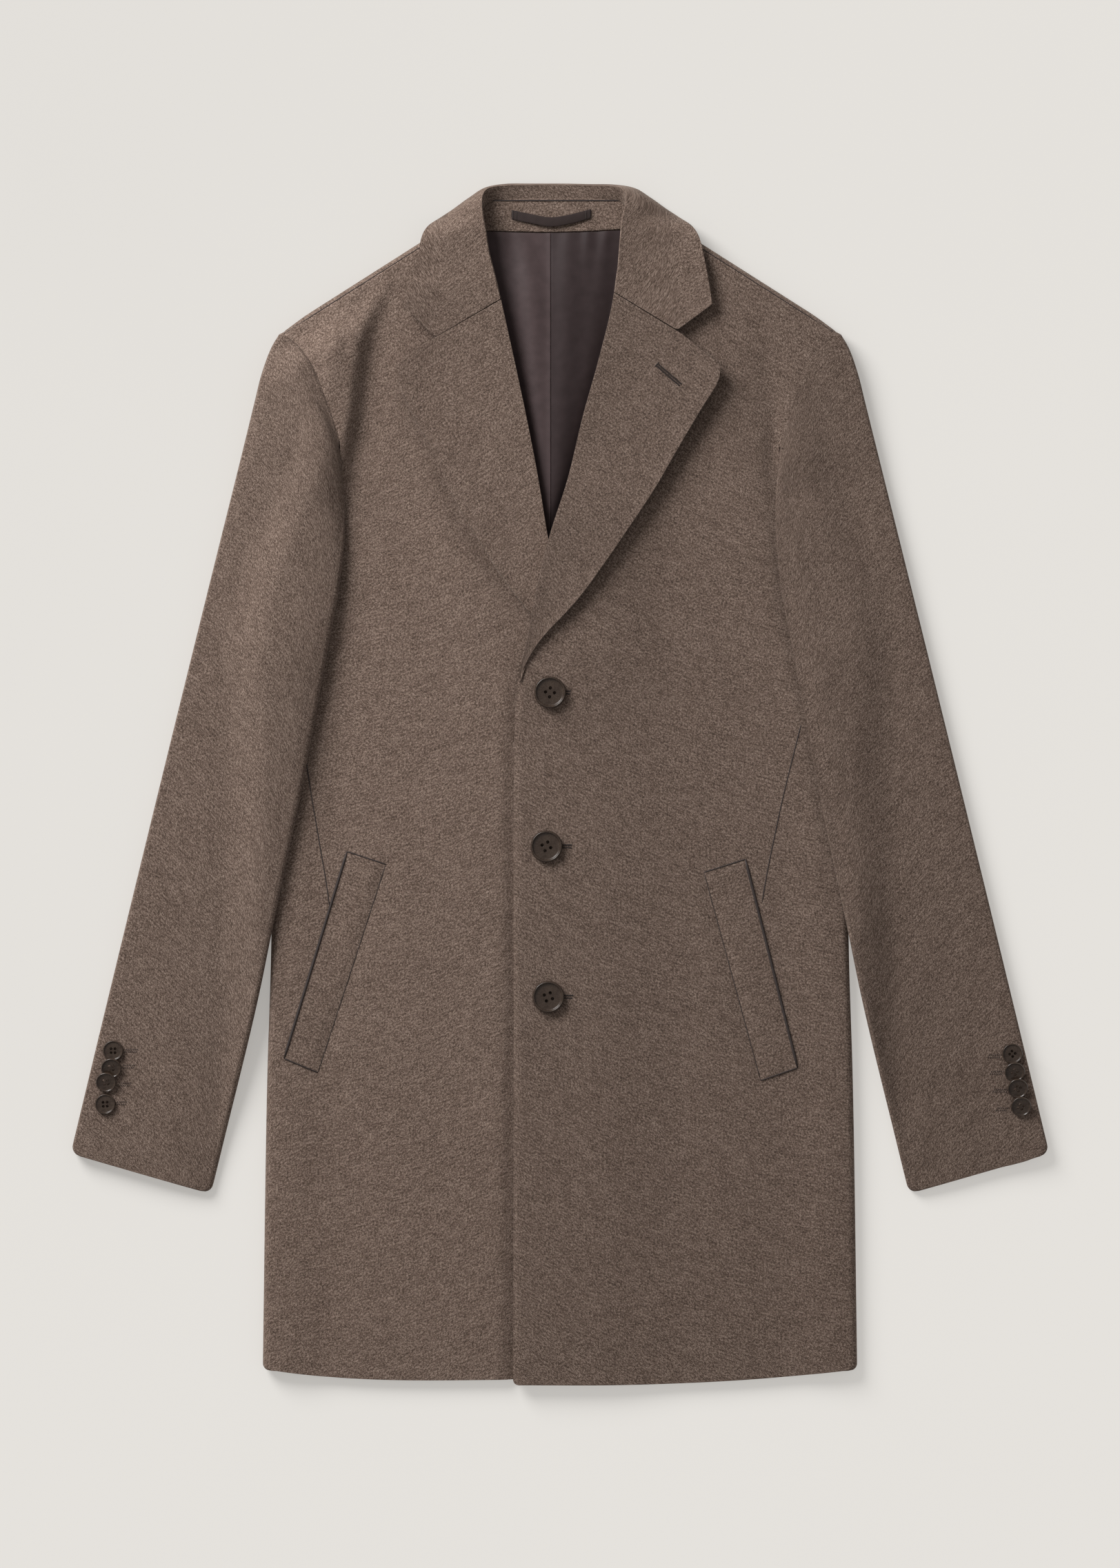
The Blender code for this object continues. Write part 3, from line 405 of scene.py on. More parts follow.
# Stitched holes: the lapel's with the bar at its end, and how far the front ones show beside their buttons
LAPEL_HOLE = ((75.6, 327.8), (94, 311.6))
LAPEL_HOLE_HALF = 1.3
LAPEL_HOLE_LIFT = 0.2
LAPEL_HOLE_BAR = 2.6
BAR_PLACES = (-1, -0.4, 0.4, 1)
BAR_LIFT = 0.3
FRONT_HOLE_START = 8.0
FRONT_HOLE_ENDS = (15.8, 19.6, 18.6)
FRONT_HOLE_HALF = 1.6
HOLE_SPACING = 0.75
HOLE_LIP = 0.25
HOLE_SLANT = 0.35
HOLE_BEND = (-0.1, 0.35, -0.15)
# Blind holes at the cuffs: x of their start and end, y
CUFF_HOLES = {
    RIGHT: ((-340.2, -331, -209), (-342.4, -332.6, -221.4), (-345.6, -335.9, -235.4), (-347.2, -339.1, -250)),
    LEFT: ((335.9, 345.6, -213.3), (337.5, 347.2, -226.3), (339.7, 349.9, -240.3), (342.4, 351, -254.9)),
}
# Their two rows of stitches: spacing, length, where each starts, slant and radius, and how a stitch rises
# along its length
BLIND_STEP = 1.45
BLIND_ROW = 1.5
BLIND_STARTS = (-1.5, 0.3)
BLIND_SLANT = 0.6
BLIND_RADIUS = 0.24
BLIND_BEND = ((0, -0.05), (0.5, 0.2), (1, -0.05))
# Threads
THREAD_RADIUS = 0.35
THREAD_SIDES = 6
THREAD_TAPER = 0.45
NECK_THREAD = 0.5
SHOULDER_THREAD_SUNK = 0.35
LINE_POINTS = 30
# Darts of the fronts, from the sleeve down to the welt: y, across. Each is a dark thread that also paints the
# shade in the dart's seam
DARTS = {
    RIGHT: ((20, 199), (-7, 194.9), (-42.4, 189), (-84.8, 182), (-97, 180.4)),
    LEFT: ((46.4, 188.5), (22.1, 182.5), (-4.3, 176), (-36.2, 169), (-76.7, 160.9), (-93, 158.2)),
}
DART_RADIUS = 0.5
DART_SUNK = 0.1
# What shows inside the neck
LINING_SEAM_X = -7.2
LINING_TUCK = 8.0
LINING_NECK_GAP = 4.0
LINING_SAG_FROM = 420.0
LINING_TOP = 434.6
LINING_LOW = 186.0
LINING_BASE = WALL + SEAM
LINING_PLEAT = 0.5
LINING_PLEAT_WIDTH = 2.5
LINING_STEP = 4.0
LINING_COLUMNS = 40
# How far the lining is puffed up between the rolls: y, height, and the least width that counts
LINING_PUFF = ((434.6, 0), (415, 2), (392, 4.2), (350, 5.8), (300, 5.8), (240, 4), (200, 2), (186, 1.4))
LINING_PUFF_WIDTH = 12.0
# Soft folds of the lining: y, x, height, width
LINING_FOLDS = (
    ((433, -30, 0.8, 8), (400, -25, 3, 11), (330, -21, 2.6, 10), (250, -16, 1.3, 7), (200, -13, 0.2, 6)),
    ((433, 7, 1.2, 6), (410, 6, 1.6, 9), (340, 4, 1.4, 9), (260, 0, 0.8, 7), (200, -3, 0.2, 6)),
    ((433, 22, 1.3, 4), (415, 21, 0.9, 5), (390, 20, 0.2, 6), (360, 20, 0, 6)),
    ((433, 36, 1.2, 4), (410, 33, 0.9, 6), (340, 24, 0.6, 7), (240, 10, 0.1, 7)),
    ((433, -46, 0.9, 4), (418, -44, 0.5, 5), (395, -42, 0, 6)),
)
FACING_TOP = ((0, 459.4), (25, 459.4), (42, 459.2), (52, 458), (61, 453.5))
FACING_SIDE_ACROSS = 63.0
FACING_BOTTOM = 435.0
FACING_BOTTOM_SAG = 2.4
FACING_TILT = 0.9
FACING_STEP = 0.08
FACING_COLUMNS = 61
# The seam over the facing, a dark thread that also paints the shade in the seam: x of both ends, y
NECK_SEAM = (-59, 51.5, 457.4)
LOOP_WIDTH = 7.4
LOOP_WALL = 1.2
LOOP_RISE = 1.6
LOOP_CROWN = 0.25
LOOP_ROWS = 49
LOOP_COLUMNS = (1, 0.8, 0.4, 0, -0.4, -0.8, -1)
LOOP_STITCH_ROWS = (1, 3, -4, -2)
# The hanger loop's middle line: x, y
LOOP_LINE = ((-38, 446.2), (-23, 443), (-7.6, 440.4), (8, 442.6), (24.2, 447))
# Buttons: x, y, turn of their holes in degrees
FRONT_BUTTONS = ((-7.8, 71.6, 40), (-10.6, -48.8, 28), (-9.1, -166.5, 20))
CUFF_BUTTONS = {
    RIGHT: ((-349.7, -208.7, 0), (-351, -221.9, 4), (-355.1, -232.9, 8), (-355.9, -250.6, 3)),
    LEFT: ((353.9, -211.1, -38), (355.6, -224.9, -32), (358, -237.8, -28), (360.5, -252, -26)),
}
CUFF_TILTED = {RIGHT: (False, True, True, False), LEFT: (False, True, True, True)}
CUFF_TILT = math.radians(14.5)
# A button's profile from the middle of its top to its bottom: share of the radius, of the thickness
BUTTON_PROFILE = (
    (0, 0.66), (0.4, 0.655), (0.72, 0.66), (0.8, 0.68), (0.835, 0.76), (0.86, 0.9), (0.885, 0.98),
    (0.915, 1), (0.94, 0.98), (0.965, 0.88), (0.99, 0.7), (1, 0.55), (0.98, 0.36), (0.9, 0.18),
    (0.7, 0.06), (0.3, 0),
)
FRONT_BUTTON = {"radius": 12.5, "thickness": 4.4, "hole": 1.3, "spread": 3.5}
CUFF_BUTTON = {"radius": 8.0, "thickness": 2.6, "hole": 1.1, "spread": 2.2}
BUTTON_STEPS = 64
BUTTON_RIM = 0.9
BUTTON_SHARP = 50
HOLE_CORNERS = (45, 135, 225, 315)
HOLE_DEPTH = 3
HOLE_STEPS = 20
HOLE_EDGE = 0.22
HOLE_EDGE_ANGLE = 60
HOLE_EDGE_SEGMENTS = 2

# Camera and light, in metres
PHOTO_PIXELS = (1624, 2274)
PIXEL = 0.00054
CAMERA_HEIGHT = 4.0
CLOTH_HEIGHT = 0.009
SENSOR = 36.0
CLIP_END = 50
KEY_PLACE = (-1.75, 1.93, 1.6)
KEY_SIZE = 1.8
KEY_POWER = 125
FILL_STRENGTH = 0.35
FILL_COLOUR = (1.0, 0.99, 0.975, 1)
# What a wide light loses on a near place, next to a small one
KEY_LOSS = 0.19
# The cloth's patterns: how far they are shifted for each letter of a panel's name, and their scales, even or
# drawn out along the weft
UV_SHIFT = 0.37
UV_SCALES = {"even": (1000, 1000, 1000), "weft": (130, 900, 1000)}
# Wool is the sum of tufts, fibres, streaks along the weft, mottles and clouds. Each has the way its noise
# goes, the noise's scale, detail and roughness, and its weights in the colour and in the relief
WOOL_LAYERS = (
    ("even", (0.62, 3.0, 0.65), 1.3, 1.0),
    ("even", (1.7, 2.0, 0.6), 1.4, 0.8),
    ("weft", (0.6, 3.0, 0.6), 0.3, 0),
    ("even", (0.13, 2.0, 0.5), 0.25, 0),
    ("even", (0.03, 3.0, 0.5), 0.1, 0),
)
WOOL_COLOURS = (
    (0.22, (0.0495, 0.0332, 0.0249)), (0.5, (0.1430, 0.0985, 0.0773)), (0.8, (0.330, 0.2490, 0.204)),
)
WOOL_RELIEF = (0.5, 0.0006)
WOOL_SHADER = {
    "Roughness": 0.95, "Specular IOR Level": 0.15, "Sheen Weight": 0.18, "Sheen Roughness": 0.45,
    "Sheen Tint": (0.75, 0.66, 0.58, 1),
}
# Painted shade: how far the wool of each kind of panel is darkened on each side, for how the light falls on
# it
PAINTED_SHADES = {
    "front": {RIGHT: 1.0, LEFT: 0.86},
    "lapel": {RIGHT: 0.91, LEFT: 0.77},
    "sleeve": {RIGHT: 0.88, LEFT: 0.82},
}
# The collar's and facing's wool is darkened in painted shade too; the last is the tone of the wool under the
# coat
COLLAR_PAINTED_SHADE = 0.9
UNDER_SHADE = 0.92
# Satin: its twill and slubs, their weights in the colour, where its two colours lie, and the colours
TWILL = {"Scale": 0.42, "Distortion": 0.6}
SLUB_NOISE = (0.12, 3.0, 0.5)
SATIN_WEIGHTS = (0.25, 0.7)
SATIN_STOPS = (0.2, 0.8)
SATIN_RELIEF = (0.2, 0.0002)
SATIN_SHADER = {"Specular IOR Level": 0.14, "Sheen Weight": 0.03}
LINING_COLOURS = ((0.030, 0.0205, 0.0203), (0.051, 0.035, 0.0353))
# Lit and shaded copies of the lining's colours for its halves: painted light on the right half, which lies in
# the shadow of the collar's roll, and painted shade on the left
LINING_PAINTED_SHADES = {RIGHT: 1.45, LEFT: 0.9}
LINING_ROUGHNESS = 0.5
STRAP_COLOURS = ((0.020, 0.0135, 0.0125), (0.040, 0.0275, 0.0255))
STRAP_ROUGHNESS = 0.6
# Horn and thread: scale, detail and roughness of their noise, then places and colours. The thread's dark
# colours also paint the shade in seams and in the welts' mouths
HORN_CLOUD = (190, 4.0, 0.6)
HORN_STREAK = (700, 2.0, 0.5)
HORN_WEIGHTS = (1.1, 0.4)
HORN_COLOURS = ((0.25, (0.027, 0.0165, 0.0115)), (0.78, (0.053, 0.036, 0.026)))
HORN_ROUGHNESS = ((0.3, (0.22,) * 3), (0.7, (0.32,) * 3))
HORN_SPECULAR = 0.4
THREAD_TWIST = (2500, 2.0, 0.5)
THREAD_AND_SHADE_COLOURS = ((0.3, (0.012, 0.008, 0.007)), (0.7, (0.045, 0.03, 0.026)))
THREAD_ROUGHNESS = 0.7
# The floor: size and height in metres, brightness, the most of the light that it scatters, colour. It glows
# with what is left, so it looks even
FLOOR_SIZE = 14
FLOOR_Z = -0.0002
FLOOR_LEVEL = 0.782
FLOOR_SHARE = 0.45
FLOOR_TINT = (1.0, 0.97, 0.924)
FLOOR_NOISE = (3.0, 2.0, 0.5)
FLOOR_TONES = ((0.2, 0.99), (0.8, 1.01))
FLOOR_SHADER = {"Roughness": 0.9, "Specular IOR Level": 0.1, "Emission Strength": 1.0}


def smooth(value, start, end):
    """From 0 at start to 1 at end, with an even slope at both."""
    share = np.clip((np.asarray(value, float) - start) / (end - start), 0, 1)
    return share * share * (3 - 2 * share)


def along(table, place):
    """The table's other columns at a place in its first one, on a smooth curve through its rows."""
    rows = np.array(table, float)
    rows = rows[np.argsort(rows[:, 0])]
    keys = rows[:, 0]
    slopes = np.gradient(rows[:, 1:], keys, axis=0)
    place = np.clip(np.asarray(place, float), keys[0], keys[-1])
    k = np.clip(np.searchsorted(keys, place, side="right") - 1, 0, len(keys) - 2)
    step = (keys[k + 1] - keys[k])[..., None]
    f = (place - keys[k])[..., None] / step
    low, high = rows[k, 1:], rows[k + 1, 1:]
    value = (
        low * (1 + 2 * f) * (1 - f) ** 2
        + high * (3 - 2 * f) * f**2
        + step * slopes[k] * f * (1 - f) ** 2
        - step * slopes[k + 1] * (1 - f) * f**2
    )
    return value[..., 0] if value.shape[-1] == 1 else value


def mixed(a, b, share):
    return a + (b - a) * share


def unit(way):
    return way / np.linalg.norm(way, axis=-1, keepdims=True)


def beside(way):
    """A way in x and y turned a quarter to its left, one long."""
    return unit(np.array([-way[1], way[0]]))


def places(start, end, step, first=True, last=True):
    """Places from start to end, closer together at the ends that show an edge."""
    length = abs(end - start)
    count = max(int(round(length / step)), 2)
    even = np.linspace(0, length, count + 1)
    near = [e for e in EDGE_PLACES if e < length / 3]
    found = [x for x in even if (not first or x > near[-1]) and (not last or length - x > near[-1])]
    if first:
        found = near + found
    if last:
        found = found + [length - e for e in near[::-1]]
    return start + np.sign(end - start) * np.array(found)


def rounded(distance, radius):
    """How far a corner of that radius draws an edge in, at a distance from the corner's end."""
    short = np.clip(radius - distance, 0, radius)
    return radius - np.sqrt(radius**2 - short**2)


def shoulder_y(across):
    """The shoulder's line, which turns down a little at its end."""
    straight = SHOULDER_START[1] - SHOULDER_SLOPE * (across - SHOULDER_START[0])
    return straight - SHOULDER_DROP * smooth(across, *SHOULDER_DROP_ACROSS)


SHOULDER_NORMAL = np.array([SHOULDER_SLOPE, 1.0]) / math.hypot(SHOULDER_SLOPE, 1)


def from_shoulder(across, y):
    """Distance inside the shoulder's line."""
    return (shoulder_y(across) - y) * SHOULDER_NORMAL[1]


def body_top(across, y):
    """Height of a front that lies on the back, before creases and before anything laps over."""
    height = along(BODY_HEIGHT, np.clip(from_shoulder(across, y), 0, None))
    side_fold = along(SIDE, y)
    start, whole = PUFF_FROM_FOLD
    return height + SIDE_PUFF * smooth(across, side_fold - start, side_fold - whole) * smooth(y, *PUFF_Y)


def pressed(side, across, y):
    """How far a sleeve presses the front down."""
    past = across - along(SLEEVE_INNER, y)
    return PRESSED[side] * smooth(past, *PRESSED_ACROSS) * smooth(y, *PRESSED_LOW) * smooth(y, *PRESSED_TOP)


def crease(table, across, y):
    """Depth of a crease whose table gives its place, depth and width at each y."""
    place, depth, width = np.moveaxis(along(table, y), -1, 0)
    return depth * np.exp(-(((across - place) / width) ** 2))


def front_top(side, across, y):
    """Height of a front's outer face. The left front laps over the right one and over its lapel."""
    height = body_top(across, y) - pressed(side, across, y)
    for table in CREASES[side]:
        height = height - crease(table, across, y)
    place, rise, half = np.moveaxis(along(ARMHOLE_STEP[side], y), -1, 0)
    rise = rise * smooth(from_shoulder(across, y), *STEP_FROM_SHOULDER)
    height = height + rise * smooth(across, place - half, place + half)
    if side == RIGHT:
        return height - crease(LAPEL_DIP, across, y)
    lapped = smooth(across, *OVERLAP_ACROSS) * smooth(y, *OVERLAP_Y)
    over_lapel = smooth(across, *LAPEL_RISE_ACROSS) * smooth(y, *LAPEL_RISE_TOP) * smooth(y, *LAPEL_RISE_END)
    return height + OVERLAP_RISE * lapped + LAPEL_RISE * over_lapel


def front_surface(side, across, y):
    """Height of a front's outer face, with its drop to the shoulder seam."""
    drop = np.clip(SHOULDER_RADIUS - from_shoulder(across, y), 0, SHOULDER_RADIUS)
    return front_top(side, across, y) - SHOULDER_RADIUS + np.sqrt(SHOULDER_RADIUS**2 - drop**2)


def roll_across(side, y):
    return along(ROLL[side], y)


def leaf_top(side, across, y):
    """Height of the turned-out cloth of collar and lapel, which spans the dip under the right lapel."""
    at_roll, at_edge, reach = np.moveaxis(along(LEAF[side], y), -1, 0)
    out = np.clip((across - roll_across(side, y)) / reach, 0, 1)
    middle = np.minimum(at_roll, at_edge) * LEAF_SAG
    over = at_roll * (1 - out) ** 2 + middle * 2 * out * (1 - out) + at_edge * out**2
    if side == RIGHT:
        over = over + crease(LAPEL_DIP, across, y)
    return front_top(side, across, y) + over


def lapel_share(side, y):
    """How whole the lapel's fold is: it runs out to nothing at the lapel's lowest point."""
    return LEAST_FOLD + (1 - LEAST_FOLD) * smooth(y, *LAPEL_END_Y[side])


def front_inner(side, y):
    """A front's inner edge: the neck, then the inside of the lapel's fold, then the free front edge."""
    under_lapel = roll_across(side, y) + LAPEL_FOLD * lapel_share(side, y)
    low = mixed(along(FRONT_EDGE[side], y), under_lapel, smooth(y, *ROLL_TO_EDGE))
    return np.where(y > NECK_END, along(NECK_EDGE, y), low)


def fold(edge, outward, top, base, angle, squeeze=1.0):
    """Points of the cloth as it turns under at an edge: angle 0 on top, pi underneath."""
    radius = (top - base) / 2
    place = edge - outward * squeeze * radius * (1 - math.sin(angle))
    return [*place, base + radius * (1 + math.cos(angle))]


FOLD_ANGLES = [math.pi * k / FOLD_STEPS for k in range(1, FOLD_STEPS + 1)]


def every_cell(points):
    """Marks for a grid's cells, all set."""
    return np.ones((len(points) - 1, points.shape[1] - 1), bool)


def grid_of(*values):
    """Points or faces from the values of each kind, which are spread over a shared grid."""
    return np.stack(np.broadcast_arrays(*values), -1)


def mirrored(points, side):
    points = np.array(points, float)
    points[..., 0] *= side
    return points


def edge_shares(step, width):
    """Shares of a way from an edge, closer together near it, where width is about the way's length."""
    even = places(0.0, 1.0, step, first=False, last=False)
    near = np.array(EDGE_PLACES) / width
    return np.concatenate([near, even[even > near[-1]]])


def front_points(side):
    """Rows from the shoulder seam to the hem; columns from the inner edge over the side to its tail."""
    hem, outer_hem = FRONT_ROWS[-1]
    rows = []
    inner_rows = places(FRONT_ROWS[0][0], hem, ROW_STEP)
    flat = edge_shares(COLUMN_STEP / FRONT_WIDTH, FRONT_WIDTH)
    bow = flat ** HEM_BOW_SKEW[side] * (1 - flat)
    bow /= bow.max()
    for inner_y in inner_rows:
        outer_y = along(FRONT_ROWS, inner_y)
        inner = np.array([front_inner(side, inner_y), inner_y])
        outer = np.array([along(FRONT_OUTER, outer_y), outer_y])
        outer[0] -= rounded(outer_y - outer_hem, HEM_CORNER)
        if side == LEFT:
            inner[0] += rounded(inner_y - hem, EDGE_CORNER)
            inner[1] -= HEM_DROP_LEFT * smooth(inner_y, *HEM_DROP_Y)
        place = inner + (outer - inner) * flat[:, None]
        place[:, 1] -= HEM_BOW[side] * smooth(inner_y, *HEM_BOW_Y) * bow
        top = front_surface(side, place[:, 0], place[:, 1])
        row = np.column_stack([place, top]).tolist()
        outward = np.array([1.0, 0.0])
        edge = outer + outward * top[-1] / 2
        row += [fold(edge, outward, top[-1], 0.0, angle) for angle in FOLD_ANGLES]
        tail_end = along(FRONT_OUTER, outer_y) - SIDE_TAIL
        row.append([(outer[0] + tail_end) / 2, outer[1], 0.0])
        row.append([tail_end, outer[1], 0.0])
        rows.append(row)
    points = mirrored(rows, side)
    keeps = every_cell(points)
    above = along(FRONT_ROWS, inner_rows[:-1]) > UNDERARM
    keeps[above, len(flat) - 1 :] = False
    return points, keeps


def tent(share, peak):
    """From 0 at both ends of a way to 1 at its peak."""
    return np.where(share <= peak, share / peak, (1 - share) / (1 - peak))


def lapel_points(side):
    """Rows from the gorge to the lowest point; columns from the outer edge over the roll to its inside."""
    table = LAPEL[side]
    notch, _, rise = NOTCH[side]
    rows = []
    shares = 1 - edge_shares(LAPEL_COLUMN_SHARE, LAPEL_WIDTH)
    for roll_y in places(table[0][0], table[-1][0], LAPEL_STEP, last=False):
        roll = np.array([roll_across(side, roll_y), roll_y])
        edge = along(table, roll_y)
        outward = unit(edge - roll)
        share = lapel_share(side, roll_y)
        reach = LAPEL_FOLD * share
        inside = roll + outward * reach
        inside[0] = roll_across(side, inside[1]) + reach - LAPEL_GAP * share
        base = front_top(side, *inside) - WALL * share
        top = leaf_top(side, *roll)
        start = roll + outward * min(LAPEL_SQUEEZE * (top - base) / 2, reach)
        place = start + (edge - start) * shares[:, None]
        share_out = np.linalg.norm(place - roll, axis=1) / np.linalg.norm(edge - roll)
        place[:, 1] += rise * tent(share_out, notch) * (1 - smooth(table[0][0] - roll_y, 0, GORGE_FADE))
        row = np.column_stack([place, leaf_top(side, place[:, 0], place[:, 1])])
        top = row[-1, 2]
        turned = [fold(roll, -outward, top, base, angle, LAPEL_SQUEEZE) for angle in FOLD_ANGLES]
        rows.append(row.tolist() + turned + [[*inside, base]])
    return mirrored(rows, side)


def collar_half(side):
    """Rows from the middle of the back to the gorge; columns from the neck seam over the roll to the edge."""
    notch, drop, _ = NOTCH[side]
    keyed = [(k, *row) for k, row in enumerate(COLLAR)]
    last = len(COLLAR) - 1
    fall = np.linspace(0, 1, FALL_STEPS + 1)[1:]
    near = 1 - np.array(EDGE_PLACES[::-1]) / FALL_WIDTH
    fall = np.concatenate([fall[fall < near[0]], near])
    rows = []
    for station in places(0.0, last, COLLAR_STEP, first=False, last=False):
        values = along(keyed, station)
        seam, roll, edge = values[:3], values[3:6], values[6:]
        if side == LEFT:
            moved = along(COLLAR_LEFT, station)
            seam[:2] += moved[:2]
            roll[:2] += moved[:2]
            edge[:2] += moved[2:]
        lying = smooth(station, *LYING_ROWS)
        roll[2] = mixed(roll[2], leaf_top(side, roll[0], roll[1]), lying)
        outward = np.append(unit(edge[:2] - roll[:2]), 0.0)
        up = np.array([0.0, 0.0, 1.0])
        steep = smooth(station, *CREST_ROWS)
        radius = mixed(*CREST_RADIUS, steep)
        thin = outward * radius * CREST_SQUEEZE
        middle = roll + thin - up * radius
        turns = np.radians(np.linspace(mixed(*CREST_START, steep), CREST_END, CREST_STEPS))
        crest = [middle + thin * math.cos(turn) + up * radius * math.sin(turn) for turn in turns]
        row = [seam + (crest[0] - seam) * share for share in np.linspace(0, 1, STAND_STEPS)] + crest[1:]
        start = row[-1]
        behind = 1 - smooth(station, *BEHIND_ROWS)
        hanging = np.array([*(edge[:2] + outward[:2] * FALL_BULGE), start[2] * FALL_BULGE_HEIGHT])
        bend = mixed((start + edge) / 2, hanging, behind)
        share = fall[:, None]
        points = start * (1 - share) ** 2 + bend * 2 * share * (1 - share) + edge * share**2
        points = np.concatenate([row, points])
        reach = np.linalg.norm(edge[:2] - roll[:2])
        out = np.clip((points[:, :2] - roll[:2]) @ outward[:2] / reach, 0, 1)
        points[:, 1] -= drop * tent(out, notch) * np.clip(1 - (last - station) / NOTCH_ROWS, 0, 1)
        lies = leaf_top(side, points[:, 0], points[:, 1])
        turned = np.arange(len(points)) >= len(row)
        points[:, 2] = np.where(turned, mixed(points[:, 2], lies, lying), points[:, 2])
        rows.append(points)
    return mirrored(rows, side)


def collar_points():
    left, right = collar_half(LEFT), collar_half(RIGHT)
    return np.concatenate([right[:0:-1], left])


def back_points():
    """Rows from the shoulder seam under to the neck and down to the hem; columns from side to side."""
    shares = np.linspace(-1, 1, BACK_COLUMNS)
    wide = np.abs(shares)
    middle_y, side_across, side_y, _ = BACK_ROWS[0]
    flat_y = np.minimum(middle_y, shoulder_y(wide * side_across) - SHOULDER_RADIUS / SHOULDER_NORMAL[1])
    top_shape = (flat_y - middle_y) / (flat_y[-1] - middle_y)
    seam_angle = math.pi - math.asin(1 - (SHOULDER_SEAM - SHOULDER_GAP) / SHOULDER_RADIUS)
    lip_angle = seam_angle - SHOULDER_LIP / SHOULDER_RADIUS
    rows = []
    turned = [seam_angle, *np.linspace(lip_angle, 0, FOLD_STEPS)[:-1]]
    for angle in turned:
        reach = SHOULDER_RADIUS * math.sin(angle)
        x = shares * side_across + np.sign(shares) * reach * SHOULDER_NORMAL[0]
        z = np.full(len(shares), SHOULDER_RADIUS * (1 - math.cos(angle)))
        rows.append(np.column_stack([x, flat_y + reach * SHOULDER_NORMAL[1], z]))
    keyed = [(k, *row) for k, row in enumerate(BACK_ROWS)]
    for station in np.arange(0, len(BACK_ROWS) - 1 + BACK_STEP / 2, BACK_STEP):
        middle_y, side_across, side_y, keeps = along(keyed, station)
        shape = mixed(wide**2, top_shape, keeps)
        y = middle_y + (side_y - middle_y) * shape
        rows.append(np.column_stack([shares * side_across, y, np.zeros(len(shares))]))
    points = np.array(rows)
    keeps = every_cell(points)
    inner = np.minimum(wide[:-1], wide[1:])
    keeps[: len(turned), inner < NECK_COLUMNS] = False
    return points, keeps


def sleeve_base(side, across, y):
    """What a sleeve lies on: the body's front, then the surface beside it."""
    return (front_top(side, across, y) + SLEEVE_LAY) * smooth(along(SIDE, y) - across, *SLEEVE_STEP)


def sleeve_height(side, share, y):
    """Height of a sleeve's cloth over what it lies on, with the inner edge's lift under the armhole."""
    return along(SLEEVE_HEIGHT[side], share) + along(SLEEVE_LIFT[side], share) * along(LIFT_SHARE[side], y)


def armhole_bow():
    """The armhole seam's distance from the straight line between its ends: shares of that line, distances."""
    y = np.linspace(SLEEVE_INNER[0][0], FRONT_OUTER[0][0], ARMHOLE_POINTS)
    seam = np.column_stack([along(FRONT_OUTER, y), y])
    line = seam[-1] - seam[0]
    offset = seam - seam[0]
    return offset @ line / (line @ line), offset @ beside(line) - ARMHOLE_GAP


ARMHOLE_SHARES, ARMHOLE_OFFSETS = armhole_bow()
ARMHOLE_WAY = unit(np.array(FRONT_OUTER[0][::-1]) - np.array(SLEEVE_INNER[0][::-1]))


def sleeve_section(inner_y):
    """A section's inner and outer folds, bow and share of the sleeve's head. The cuff's corners are round."""
    outer_y, bow, head = along(SLEEVE_ROWS, inner_y)
    inner = np.array([along(SLEEVE_INNER, inner_y), inner_y])
    outer = np.array([along(SLEEVE_OUTER, outer_y), outer_y])
    draw = unit(outer - inner) * rounded(inner_y - SLEEVE_ROWS[-1][0], CUFF_CORNER)
    return inner + draw, outer - draw, bow, head


def sleeve_places(inner, outer, bow, shares):
    """Places across a section, bowed towards the shoulder at the sleeve's head."""
    line = outer - inner
    offsets = np.interp(shares, ARMHOLE_SHARES, ARMHOLE_OFFSETS)
    return inner + line * shares[:, None] + beside(line) * (bow * offsets)[:, None]


def sleeve_end(side, edge, share, head):
    """Base and top of a sleeve's fold at one end of a section."""
    base = sleeve_base(side, *edge)
    on_seam = edge - HEAD_REACH * share * ARMHOLE_WAY
    seam = front_surface(side, *on_seam) + along(HEAD_PROUD[side], share)
    top = mixed(base + sleeve_height(side, share, edge[1]), seam, head)
    return min(base, top - HEAD_FOLD), top


def head_tuck(side, seam, turned):
    """Rows that run on from the seam of a sleeve's head. Some points at its ends are turned under."""
    spread = np.linspace(0, 1, HEAD_COLUMNS)
    proud = along(HEAD_PROUD[side], spread)
    inwards = beside(seam[-1, :2] - seam[0, :2])
    middle = slice(turned, -turned)
    weight = np.ones(len(seam))
    weight[middle] = np.maximum(smooth(spread, *HEAD_TUCK_FROM), HEAD_TUCK_LEAST[side])
    rows = []
    for reach, drop in HEAD_TUCK[side]:
        row = seam.copy()
        row[:, :2] += inwards * (reach * weight)[:, None]
        row[:, 2] *= 1 + drop * weight / seam[:, 2].max()
        under = front_surface(side, row[middle, 0], row[middle, 1]) + proud + drop * weight[middle]
        row[middle, 2] = mixed(under, row[middle, 2], smooth(spread, *HEAD_TUCK_END))
        rows.append(row)
    return rows


